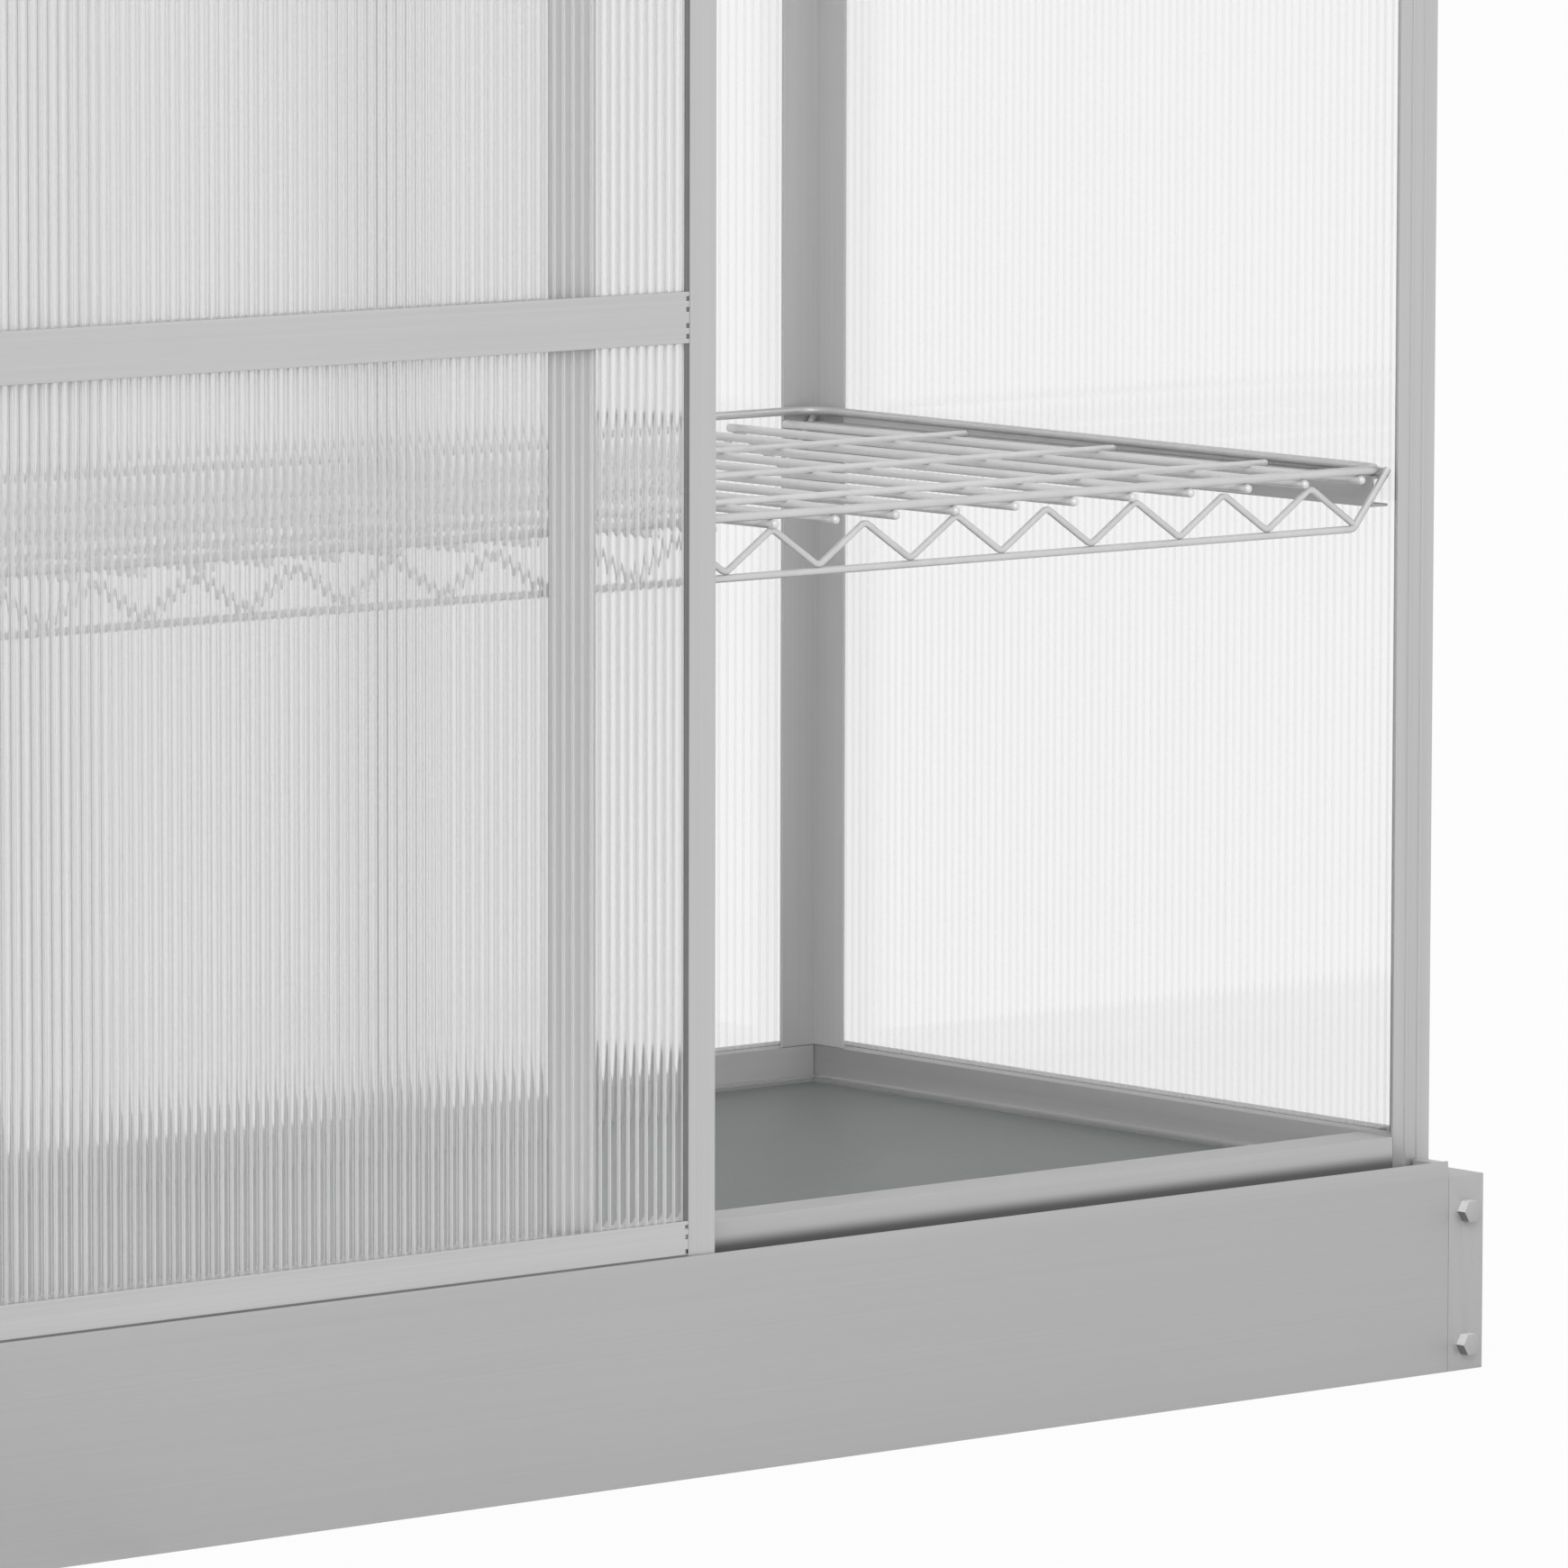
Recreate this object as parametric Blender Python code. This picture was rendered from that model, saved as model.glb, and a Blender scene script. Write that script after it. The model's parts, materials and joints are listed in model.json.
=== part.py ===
# Cabinet greenhouse: folded plinth, aluminium frame, twin-wall sheets, wire shelves and two sliding doors.
# Metres, +Z up, +X to the right seen from the doors, which face -Y. The origin is on the ground under the middle.
import itertools
import math

import bmesh
import bpy
from mathutils import Matrix, Vector

# Gaps between pieces that touch, and between pieces that slide
seat_gap = 0.0003
slide_gap = 0.0005

# Plinth, folded from sheet
plinth_width = 1.320
plinth_depth = 0.575
plinth_height = 0.111
plinth_sheet = 0.002
plinth_flange = 0.060
plinth_foot = 0.030
lip_height = 0.009
lip_bevel = 0.010
lip_lean = 0.0008
corner_return = 0.0266
tab_length = 0.021
bracket_leg = 0.045
bracket_sheet = 0.0025
bracket_margin = 0.006
bolt_radius = 0.003
bolt_hole_radius = 0.0033
bolt_head_radius = 0.0058
bolt_head_height = 0.004
bolt_low = 0.015
bolt_high = 0.091

# Frame: insets from the plinth's faces, and the section that posts, sills and rails share
side_inset = 0.0236
front_inset = 0.020
back_inset = 0.028
member_width = 0.0279
member_wall = 0.0015
sheet_thickness = 0.004
sheet_inset = 0.0148
groove_depth = 0.010
sill_height = 0.024
ledge_width = 0.005
ledge_height = 0.0032
floor_thickness = 0.0028
floor_margin = 0.003
threshold_height = 0.023
track_base = 0.0015
track_rib_width = 0.0028
track_rib_height = 0.0042
track_stop_width = 0.008
track_stop_height = 0.003
post_depth = 0.026
post_flange = 0.002
post_ridge_width = 0.0016
post_ridge_height = 0.0008
corner_leg = 0.025
corner_side_grip = 0.014
back_bar_offset = 0.058
back_bar_flange = 0.050

# Top of the frame
header_top = 2.190
header_height = 0.082
header_fascia = 0.002
header_channel = 0.020
header_ledge_start = 0.026
header_divider_height = 0.016
roof_ledge_drop = 0.008
roof_fall = 0.07815
rail_depth = 0.036
rail_lip_height = 0.007
roof_overhang = 0.018
roof_bar_width = 0.030
roof_bar_depth = 0.020

# Doors, which run in two tracks behind the plinth's lip
door_thickness = 0.0072
track_pitch = 0.009
outer_track = 0.006
door_lap = 0.0135
stile_width = 0.0183
meeting_width = 0.032
stile_groove = 0.008
door_rail_height = 0.025
door_rail_groove = 0.005
door_clearance = 0.003
door_overlap = 0.015
pane_count = 4
crossbar_height = 0.0274
rivet_radius = 0.002
rivet_count = 3
wheel_radius = 0.007
wheel_width = 0.0028
wheel_slot = 0.0038
wheel_inset = 0.060
axle_radius = 0.00125
axle_seat = 0.001
pull_height = 1.050
grip_length = 0.120
grip_radius = 0.004
cup_length = 0.090
cup_width = 0.0070
cup_depth = 0.0044
cup_wall = 0.0009
door_edge_showing = 0.109

# Wire shelves and the rails that carry them
lowest_shelf_height = 0.513
shelf_pitch = 0.497
shelf_margin = 0.0005
shelf_front = 0.0223
frame_wire = 0.00275
deck_wire = 0.002
weld_depth = 0.0006
truss_height = 0.031
truss_start = 0.0265
truss_end = 0.03355
truss_steps = 35
truss_clear = 0.0002
deck_wire_count = 28
deck_start = 0.0773
deck_past = 0.0048
cross_wire_front = 0.113
cross_wire_pitch = 0.128
cross_wire_count = 3
cross_start = 0.065
shelf_rail_height = 0.0172
shelf_rail_width = 0.0122

half_width = plinth_width / 2
half_depth = plinth_depth / 2
frame_out = side_inset
frame_in = side_inset + member_width
sheet_at = side_inset + sheet_inset
groove = sheet_thickness + 2 * seat_gap
back_out = plinth_depth - back_inset
back_in = back_out - member_width
back_sheet = back_out - sheet_inset
deck_level = plinth_height + seat_gap
sill_top = plinth_height + sill_height
threshold_top = plinth_height + threshold_height
threshold_back = front_inset + member_width
ledge_bottom = deck_level + floor_thickness + ledge_height - member_wall
rib_top = deck_level + track_base + track_rib_height
header_bottom = header_top - header_height
roof_slope = roof_fall / (back_out - header_ledge_start)
door_bottom = plinth_height + door_clearance
door_top = header_bottom + door_overlap
pane = (door_top - door_bottom - 2 * door_rail_height
        - (pane_count - 1) * crossbar_height) / pane_count
door_edge = half_width - frame_in + door_lap
door_width = door_edge + meeting_width / 2
right_door_open = door_width - door_edge_showing
inner_track = outer_track + track_pitch
axle_height = rib_top + seat_gap + wheel_radius
grip_reach = roof_overhang + outer_track - door_thickness / 2 - seat_gap - grip_radius


def across(side, inset):
    """X of a place that lies inset from the plinth's end on that side, 1 on the right and -1 on the left."""
    return side * (half_width - inset)


def back_from_front(distance):
    """Y of a place behind the plinth's front face."""
    return distance - half_depth


def roof_at(distance):
    """Height of the roof sheet's underside, a distance behind the plinth's front face."""
    return header_top - roof_ledge_drop - roof_slope * (distance - header_ledge_start)


def paint(name, colour, roughness, metallic, alpha=1.0):
    made = bpy.data.materials.new(name)
    made.use_nodes = True
    shader = made.node_tree.nodes["Principled BSDF"]
    shader.inputs["Base Color"].default_value = (*colour, 1.0)
    shader.inputs["Roughness"].default_value = roughness
    shader.inputs["Metallic"].default_value = metallic
    shader.inputs["Alpha"].default_value = alpha
    made.diffuse_color = (*colour, alpha)
    return made


def new_object(name, data, place=(0, 0, 0), parent=None, collection=None):
    made = bpy.data.objects.new(name, data)
    made.location = place
    made.parent = parent
    (collection or greenhouse).objects.link(made)
    return made


def finished(name, form, material):
    """The mesh of a bmesh, with its doubles merged and its faces pointing out."""
    bmesh.ops.remove_doubles(form, verts=form.verts, dist=1e-6)
    bmesh.ops.recalc_face_normals(form, faces=form.faces)
    mesh = bpy.data.meshes.new(name)
    form.to_mesh(mesh)
    form.free()
    mesh.materials.append(material)
    return mesh


def evaluated_mesh(obj):
    bpy.context.view_layer.update()
    graph = bpy.context.evaluated_depsgraph_get()
    return bpy.data.meshes.new_from_object(obj.evaluated_get(graph), depsgraph=graph)


def mesh_of_curve(curve, name, matrix, material):
    """A curve's tube or extrusion as a closed mesh, carried by a matrix."""
    guide = bpy.data.objects.new(name, curve)
    bpy.context.scene.collection.objects.link(guide)
    raw = evaluated_mesh(guide)
    bpy.data.objects.remove(guide)
    form = bmesh.new()
    form.from_mesh(raw)
    bpy.data.meshes.remove(raw)
    form.transform(matrix)
    return finished(name, form, material)


def extrusion(name, outlines, start, end, direction, material):
    """An outline, or a list of outlines clear of each other, extruded from start to end.

    Along X the outline holds (y, z), along Y it holds (x, z), and along Z it holds (x, y).
    """
    curve = bpy.data.curves.new(name, "CURVE")
    curve.dimensions = "2D"
    curve.fill_mode = "BOTH"
    curve.extrude = abs(end - start) / 2
    for loop in outlines if isinstance(outlines[0], list) else [outlines]:
        spline = curve.splines.new("POLY")
        spline.points.add(len(loop) - 1)
        for point, (u, v) in zip(spline.points, loop):
            point.co = (u, v, 0, 1)
        spline.use_cyclic_u = True
    middle = (start + end) / 2
    frames = {
        "X": ((0, 0, 1, middle), (1, 0, 0, 0), (0, 1, 0, 0), (0, 0, 0, 1)),
        "Y": ((1, 0, 0, 0), (0, 0, -1, middle), (0, 1, 0, 0), (0, 0, 0, 1)),
        "Z": ((1, 0, 0, 0), (0, 1, 0, 0), (0, 0, 1, middle), (0, 0, 0, 1)),
    }
    return mesh_of_curve(curve, name, Matrix(frames[direction]), material)


def box_mesh(name, first, second, material):
    """A box square to the axes, given by two opposite corners."""
    form = bmesh.new()
    bmesh.ops.create_cube(form, size=1)
    for vertex in form.verts:
        ends = [max(pair) if c > 0 else min(pair) for c, pair in zip(vertex.co, zip(first, second))]
        vertex.co = [round(value, 6) for value in ends]
    return finished(name, form, material)


def block_mesh(name, boxes, material):
    """Boxes square to the axes, each given by two opposite corners, joined into one body."""
    group = bpy.data.collections.new(name)
    greenhouse_helpers.children.link(group)
    base, *others = [new_object(name, box_mesh(name, *box, material), collection=cutters) for box in boxes]
    for other in others:
        group.objects.link(other)
    step = base.modifiers.new("join", "BOOLEAN")
    step.operation = "UNION"
    step.solver = "EXACT"
    step.operand_type = "COLLECTION"
    step.collection = group
    form = bmesh.new()
    form.from_mesh(evaluated_mesh(base))
    for made in (base, *others):
        bpy.data.objects.remove(made)
    bpy.data.collections.remove(group)
    return finished(name, form, material)


def rod_mesh(name, radius, start, end, direction, centre, material, sides=12):
    """A round rod along X, Y or Z, at a centre that gives the other two coordinates in X, Y, Z order."""
    form = bmesh.new()
    bmesh.ops.create_cone(
        form, cap_ends=True, segments=sides, radius1=radius, radius2=radius, depth=abs(end - start)
    )
    middle = (start + end) / 2
    if direction == "Y":
        turn = Matrix.Rotation(math.pi / 2, 4, "X")
        place = Vector((centre[0], middle, centre[1]))
    elif direction == "X":
        turn = Matrix.Rotation(math.pi / 2, 4, "Y")
        place = Vector((middle, centre[0], centre[1]))
    else:
        turn = Matrix.Identity(4)
        place = Vector((centre[0], centre[1], middle))
    form.transform(Matrix.Translation(place) @ turn)
    return finished(name, form, material)


def helper(mesh):
    """A cutter or an addition, kept out of the render."""
    made = new_object(mesh.name, mesh, collection=cutters)
    made.hide_render = True
    made.display_type = "WIRE"
    return made


def combine(obj, mesh, operation):
    other = helper(mesh)
    other.parent = obj
    step = obj.modifiers.new(f"{operation.lower()} {len(obj.modifiers)}", "BOOLEAN")
    step.operation = operation
    step.solver = "EXACT"
    step.object = other


def cut(obj, mesh):
    combine(obj, mesh, "DIFFERENCE")


def join(obj, mesh):
    combine(obj, mesh, "UNION")


def lean(mesh, slope, level):
    """Tilts a mesh by shearing it, so that its height falls by slope from where Y is at level."""
    for vertex in mesh.vertices:
        vertex.co.z -= slope * (vertex.co.y - level)


def rounded(points, radius, steps, closed=False):
    """The points with each corner replaced by an arc."""
    count = len(points)
    result = []
    for index, point in enumerate(points):
        if not closed and index in (0, count - 1):
            result.append(point)
            continue
        before = (points[index - 1] - point).normalized()
        after = (points[(index + 1) % count] - point).normalized()
        half = before.angle(after) / 2
        inset = radius / math.tan(half)
        centre = point + (before + after).normalized() * radius / math.sin(half)
        first = (point + before * inset - centre).normalized()
        last = (point + after * inset - centre).normalized()
        for step in range(steps + 1):
            result.append(centre + first.slerp(last, step / steps) * radius)
    return result


def wire_mesh(name, points, radius, material, closed=False, sides_level=1):
    curve = bpy.data.curves.new(name, "CURVE")
    curve.dimensions = "3D"
    curve.bevel_depth = radius
    curve.bevel_resolution = sides_level
    curve.use_fill_caps = not closed
    spline = curve.splines.new("POLY")
    spline.points.add(len(points) - 1)
    for point, place in zip(spline.points, points):
        point.co = (*place, 1)
    spline.use_cyclic_u = closed
    return mesh_of_curve(curve, name, Matrix.Identity(4), material)


def plinth_beams():
    """Front and back beams between the side beams, each with a tab that steps back behind a corner return."""
    beam_end = half_width - corner_return - seat_gap
    flange_end = half_width - plinth_flange - seat_gap
    foot_end = half_width - plinth_foot - seat_gap
    t = plinth_sheet
    lip_top = plinth_height + lip_height
    tab_front = plinth_sheet + seat_gap
    tab_back = tab_front + plinth_sheet
    low, high = bracket_margin / 2, plinth_height - t - bracket_margin / 2
    for name, end in (("plinth_front", -1), ("plinth_back", 1)):
        face = end * half_depth
        boxes = [
            ((-beam_end, face, 0), (beam_end, face - end * t, plinth_height)),
            ((-flange_end, face, plinth_height - t), (flange_end, face - end * plinth_flange, plinth_height)),
            ((-foot_end, face, 0), (foot_end, face - end * plinth_foot, t)),
        ]
        if end < 0:
            boxes.append(((-beam_end, face, 0), (beam_end, face + t, lip_top)))
        for side in (-1, 1):
            start = side * (beam_end - tab_length)
            boxes += [
                ((start, face, low), (side * beam_end, face - end * tab_back, high)),
                ((start, face - end * tab_front, low), (side * (beam_end + tab_length), face - end * tab_back, high)),
            ]
        beam = new_object(name, block_mesh(name, boxes, steel))
        if end < 0:
            wedge = [(face - lip_lean, lip_top - 2 * lip_bevel), (face + 2 * lip_lean, lip_top + lip_bevel),
                     (face - lip_lean, lip_top + lip_bevel)]
            cut(beam, extrusion("lip lean", wedge, -half_width, half_width, "X", steel))
        for side, height in itertools.product((-1, 1), (bolt_low, bolt_high)):
            cut(beam, rod_mesh("bolt hole", bolt_hole_radius, face, face - end * 2 * tab_back, "Y",
                               (across(side, corner_return / 2), height), steel))


def plinth_sides():
    t = plinth_sheet
    flange_clear = half_depth - 2 * (plinth_sheet + seat_gap)
    foot_clear = half_depth - plinth_sheet - seat_gap
    for side, name in ((-1, "plinth_left"), (1, "plinth_right")):
        outer, edge = across(side, 0), across(side, corner_return)
        boxes = [
            ((outer, -half_depth, 0), (across(side, t), half_depth, plinth_height)),
            ((outer, -half_depth, plinth_height - t), (edge, half_depth, plinth_height)),
            ((outer, -flange_clear, plinth_height - t), (across(side, plinth_flange), flange_clear, plinth_height)),
            ((outer, -half_depth, 0), (edge, half_depth, t)),
            ((outer, -foot_clear, 0), (across(side, plinth_foot), foot_clear, t)),
        ]
        for end in (-1, 1):
            boxes.append(((outer, end * half_depth, 0), (edge, end * (half_depth - t), plinth_height)))
        beam = new_object(name, block_mesh(name, boxes, steel))
        for end, height in itertools.product((-1, 1), (bolt_low, bolt_high)):
            cut(beam, rod_mesh("bolt hole", bolt_hole_radius, end * (half_depth + t), end * (half_depth - 2 * t), "Y",
                               (across(side, corner_return / 2), height), steel))


def corner_brackets():
    """Tapped angles behind the corner returns, each with its two hexagon bolts."""
    start = 2 * plinth_sheet + 2 * seat_gap
    low = plinth_sheet + bracket_margin
    high = plinth_height - plinth_sheet - bracket_margin
    inner = plinth_sheet + seat_gap
    for end, where in ((-1, "front"), (1, "back")):
        for side, hand in ((-1, "left"), (1, "right")):
            outline = [(inner, start), (inner, start + bracket_leg), (inner + bracket_sheet, start + bracket_leg),
                       (inner + bracket_sheet, start + bracket_sheet), (bracket_leg, start + bracket_sheet),
                       (bracket_leg, start)]
            section = [(across(side, u), end * (half_depth - v)) for u, v in outline]
            name = f"corner_bracket_{where}_{hand}"
            bracket = new_object(name, extrusion(name, section, low, high, "Z", steel))
            face = end * half_depth
            for height in (bolt_low, bolt_high):
                centre = (across(side, corner_return / 2), height)
                join(bracket, rod_mesh("bolt shank", bolt_radius, face + end * (seat_gap + bolt_head_height / 2),
                                       face - end * (start + bracket_sheet / 2), "Y", centre, zinc))
                join(bracket, rod_mesh("bolt head", bolt_head_radius, face + end * seat_gap,
                                       face + end * (seat_gap + bolt_head_height), "Y", centre, zinc, sides=6))


def sills():
    """The ring that stands on the plinth: a door track in front and grooved sills on the other sides."""
    near = back_from_front
    wall = member_wall
    base = deck_level
    plate = base + track_base
    track_front = outer_track - door_thickness / 2
    track_back = front_inset - post_ridge_height - seat_gap
    inside = half_width - frame_in - seat_gap
    stop = door_edge + slide_gap
    stop_end = stop + track_stop_width
    ledge_top = ledge_bottom + wall
    ledge_end = threshold_back + ledge_width
    spans = [
        (stop_end, track_front, base, track_back, plate),
        (inside, track_front, base, front_inset + wall, plate),
        (inside, front_inset, base, front_inset + wall, threshold_top),
        (inside, front_inset, threshold_top - wall, threshold_back, threshold_top),
        (inside, threshold_back - wall, ledge_bottom, threshold_back, threshold_top),
        (inside, threshold_back - wall, ledge_bottom, ledge_end, ledge_top),
    ]
    for centre in (outer_track, inner_track):
        spans.append((stop_end, centre - track_rib_width / 2, base, centre + track_rib_width / 2, rib_top))
    boxes = [((-end, near(u), low), (end, near(v), high)) for end, u, low, v, high in spans]
    for side in (-1, 1):
        boxes.append(((side * stop, near(track_front), base),
                      (side * stop_end, near(track_back), rib_top + track_stop_height)))
    new_object("sill_front", block_mesh("sill_front", boxes, aluminium))

    solid = sill_top - groove_depth - wall
    lower, upper = sheet_at - groove / 2, sheet_at + groove / 2
    section = [
        (frame_out, base), (frame_out, sill_top), (lower, sill_top), (lower, sill_top - groove_depth),
        (upper, sill_top - groove_depth), (upper, sill_top), (frame_in, sill_top), (frame_in, ledge_top),
        (frame_in + ledge_width, ledge_top), (frame_in + ledge_width, ledge_bottom), (frame_in - wall, ledge_bottom),
        (frame_in - wall, solid), (frame_out + wall, solid), (frame_out + wall, base),
    ]
    outline = [(near(back_out - (u - frame_out)), v) for u, v in section]
    new_object("sill_back", extrusion("sill_back", outline, -inside, inside, "X", aluminium))

    flange_clear = front_inset + post_flange + seat_gap
    post_clear = front_inset + post_depth + seat_gap
    stem_clear = post_stem_in() + seat_gap
    spans = [
        (post_clear, back_out, frame_out, base, frame_out + wall, sill_top),
        (post_clear, back_out, frame_out, solid, frame_in, sill_top - groove_depth),
        (post_clear, back_out, frame_out, solid, lower, sill_top),
        (flange_clear, back_out, stem_clear, solid, frame_in, sill_top),
        (post_clear, back_out, upper, solid, frame_in, sill_top),
        (flange_clear, back_out, frame_in - wall, ledge_bottom, frame_in, sill_top),
        (ledge_end + seat_gap, back_in - ledge_width - seat_gap, frame_in - wall, ledge_bottom,
         frame_in + ledge_width, ledge_top),
    ]
    for side, name in ((-1, "sill_left"), (1, "sill_right")):
        boxes = [((across(side, u), near(start), low), (across(side, v), near(end), high))
                 for start, end, u, low, v, high in spans]
        new_object(name, block_mesh(name, boxes, aluminium))


def post_stem_in():
    """How far the front post's inner stem reaches from the plinth's end."""
    return sheet_at + groove / 2 + member_wall


def posts():
    near = back_from_front
    wall = member_wall
    f, back = front_inset, front_inset + post_depth
    flange = f + post_flange
    outline = [(frame_out, f)]
    for share in (1 / 3, 2 / 3):
        middle = frame_out + share * member_width
        half = post_ridge_width / 2
        outline += [(middle - half, f), (middle - half, f - post_ridge_height),
                    (middle + half, f - post_ridge_height), (middle + half, f)]
    outline += [
        (frame_in, f), (frame_in, flange), (post_stem_in(), flange), (post_stem_in(), back),
        (sheet_at + groove / 2, back), (sheet_at + groove / 2, flange + wall),
        (sheet_at - groove / 2, flange + wall), (sheet_at - groove / 2, back),
        (sheet_at - groove / 2 - wall, back), (sheet_at - groove / 2 - wall, flange), (frame_out + wall, flange),
        (frame_out + wall, back - wall), (sheet_at - groove / 2 - 2 * wall, back - wall),
        (sheet_at - groove / 2 - 2 * wall, back), (frame_out, back),
    ]
    side_end = back_in - corner_side_grip
    back_end = frame_in + corner_side_grip
    edge = member_wall + seat_gap
    corner = [
        (frame_out, side_end), (sheet_at - groove / 2, side_end), (sheet_at - groove / 2, side_end + groove_depth),
        (sheet_at + groove / 2, side_end + groove_depth), (sheet_at + groove / 2, side_end),
        (frame_in - edge, side_end), (frame_in - edge, back_in - corner_leg), (frame_in, back_in - corner_leg),
        (frame_in, back_in), (frame_in + corner_leg, back_in), (frame_in + corner_leg, back_in + edge),
        (back_end, back_in + edge), (back_end, back_sheet - groove / 2),
        (back_end - groove_depth, back_sheet - groove / 2), (back_end - groove_depth, back_sheet + groove / 2),
        (back_end, back_sheet + groove / 2), (back_end, back_out), (frame_out, back_out),
    ]
    for side, hand in ((-1, "left"), (1, "right")):
        name = f"post_front_{hand}"
        new_object(name, extrusion(name, [(across(side, u), near(v)) for u, v in outline], deck_level,
                                   header_bottom - seat_gap, "Z", aluminium))
        name = f"post_back_{hand}"
        new_object(name, extrusion(name, [(across(side, u), near(v)) for u, v in corner], sill_top + seat_gap,
                                   back_header_bottom() - seat_gap, "Z", aluminium))


def back_header_bottom():
    return roof_at(back_in) - rail_depth


def top_frame():
    """Front header with the doors' top tracks, back header, and sloping side rails with a seat for the roof."""
    near = back_from_front
    wall, t = member_wall, header_fascia
    channel_top = door_top + track_rib_height
    middle = (outer_track + inner_track) / 2
    divider = (track_pitch - door_thickness - 2 * slide_gap) / 2
    rear = front_inset + member_width
    ledge = header_ledge_start
    section = [
        (0, header_bottom), (0, header_top), (ledge, header_top), (ledge, roof_at(ledge)), (rear, roof_at(rear)),
        (rear, header_bottom), (rear - wall, header_bottom), (rear - wall, roof_at(rear) - t),
        (ledge - t, roof_at(ledge) - t), (ledge - t, header_top - t), (t, header_top - t), (t, channel_top + t),
        (header_channel + t, channel_top + t), (header_channel + t, header_bottom), (header_channel, header_bottom),
        (header_channel, channel_top), (middle + divider, channel_top),
        (middle + divider, channel_top - header_divider_height), (middle - divider, channel_top - header_divider_height),
        (middle - divider, channel_top), (t, channel_top), (t, header_bottom),
    ]
    end = half_width - frame_out
    header = new_object("header_front", extrusion("header_front", [(near(u), v) for u, v in section],
                                                  -end, end, "X", aluminium))
    mid = t / 2
    plate = [(mid, header_bottom + mid), (mid, header_top - mid), (ledge - mid, header_top - mid),
             (ledge - mid, roof_at(ledge) - mid), (rear - wall / 2, roof_at(rear) - mid), (rear - wall / 2, header_bottom + mid)]
    plate = [(near(u), v) for u, v in plate]
    for side in (-1, 1):
        join(header, extrusion("header end", plate, side * (end - t), side * (end - seat_gap), "X", aluminium))

    low = back_header_bottom()
    section = [
        (back_in, low), (back_in, roof_at(back_in)), (back_out, roof_at(back_out)), (back_out, low),
        (back_sheet + groove / 2, low), (back_sheet + groove / 2, low + groove_depth),
        (back_sheet - groove / 2, low + groove_depth), (back_sheet - groove / 2, low),
    ]
    new_object("header_back", extrusion("header_back", [(near(u), v) for u, v in section], -end, end, "X", aluminium))

    level = roof_at(0)
    section = [
        (frame_out, -rail_depth), (frame_out, rail_lip_height), (sheet_at - groove / 2, rail_lip_height),
        (sheet_at - groove / 2, 0), (frame_in, 0), (frame_in, -rail_depth), (sheet_at + groove / 2, -rail_depth),
        (sheet_at + groove / 2, -rail_depth + groove_depth), (sheet_at - groove / 2, -rail_depth + groove_depth),
        (sheet_at - groove / 2, -rail_depth),
    ]
    for side, name in ((-1, "top_rail_left"), (1, "top_rail_right")):
        outline = [(across(side, u), level + v) for u, v in section]
        mesh = extrusion(name, outline, near(rear + seat_gap), near(back_in - seat_gap), "Y", aluminium)
        lean(mesh, roof_slope, -half_depth)
        new_object(name, mesh)

    bar = box_mesh("roof_bar", (back_bar_offset - roof_bar_width / 2, near(rear + seat_gap), level - roof_bar_depth),
                   (back_bar_offset + roof_bar_width / 2, near(back_in - seat_gap), level), aluminium)
    lean(bar, roof_slope, -half_depth)
    new_object("roof_bar", bar)
    roof_end = half_width - (sheet_at - groove / 2) - seat_gap
    roof = box_mesh("roof_panel", (-roof_end, near(header_ledge_start + seat_gap), level + seat_gap),
                    (roof_end, near(plinth_depth + roof_overhang), level + seat_gap + sheet_thickness), clear)
    lean(roof, roof_slope, -half_depth)
    new_object("roof_panel", roof)


def walls():
    """Back bar, side and back sheets, and the floor sheet on the plinth's flanges."""
    near = back_from_front
    flange = back_bar_flange / 2
    half = flange / 2 + member_wall
    inner = half - groove_depth - member_wall
    edge = member_wall + seat_gap
    outline = []
    for side in (1, -1):
        corners = [
            (flange, back_in), (flange, back_in + edge), (half, back_in + edge), (half, back_sheet - groove / 2),
            (inner, back_sheet - groove / 2), (inner, back_sheet + groove / 2), (half, back_sheet + groove / 2),
            (half, back_out),
        ]
        outline += [(side * u, v) for u, v in corners[::side]]
    section = [(u, near(v)) for u, v in outline]
    top = back_header_bottom()
    new_object("back_bar", extrusion("back_bar", section, sill_top + seat_gap, top - seat_gap, "Z", aluminium),
               place=(back_bar_offset, 0, 0))

    sheet_low = sill_top - groove_depth + seat_gap
    half_sheet = sheet_thickness / 2
    start = front_inset + post_flange + member_wall + seat_gap
    notch = front_inset + member_width + 2 * seat_gap
    finish = back_in - corner_side_grip + groove_depth - seat_gap
    rise = rail_depth - groove_depth + seat_gap
    outline = [
        (start, sheet_low), (finish, sheet_low), (finish, roof_at(finish) - rise), (notch, roof_at(notch) - rise),
        (notch, header_bottom - 2 * seat_gap), (start, header_bottom - 2 * seat_gap),
    ]
    for side, hand in ((-1, "left"), (1, "right")):
        name = f"side_panel_{hand}"
        centre = across(side, sheet_at)
        new_object(name, extrusion(name, [(near(u), v) for u, v in outline], centre - half_sheet,
                                   centre + half_sheet, "X", clear))
        name = f"back_panel_{hand}"
        outer = across(side, frame_in + corner_side_grip - groove_depth + seat_gap)
        meeting = back_bar_offset + side * (inner + seat_gap)
        new_object(name, box_mesh(name, (min(outer, meeting), near(back_sheet - half_sheet), sheet_low),
                                  (max(outer, meeting), near(back_sheet + half_sheet), top + groove_depth - seat_gap),
                                  clear))
    side_edge = half_width - frame_in + floor_margin / 4
    new_object("floor_panel", box_mesh(
        "floor_panel", (-side_edge, near(threshold_back - member_wall + seat_gap), deck_level),
        (side_edge, near(back_in + member_wall - seat_gap), deck_level + floor_thickness), board))


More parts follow.
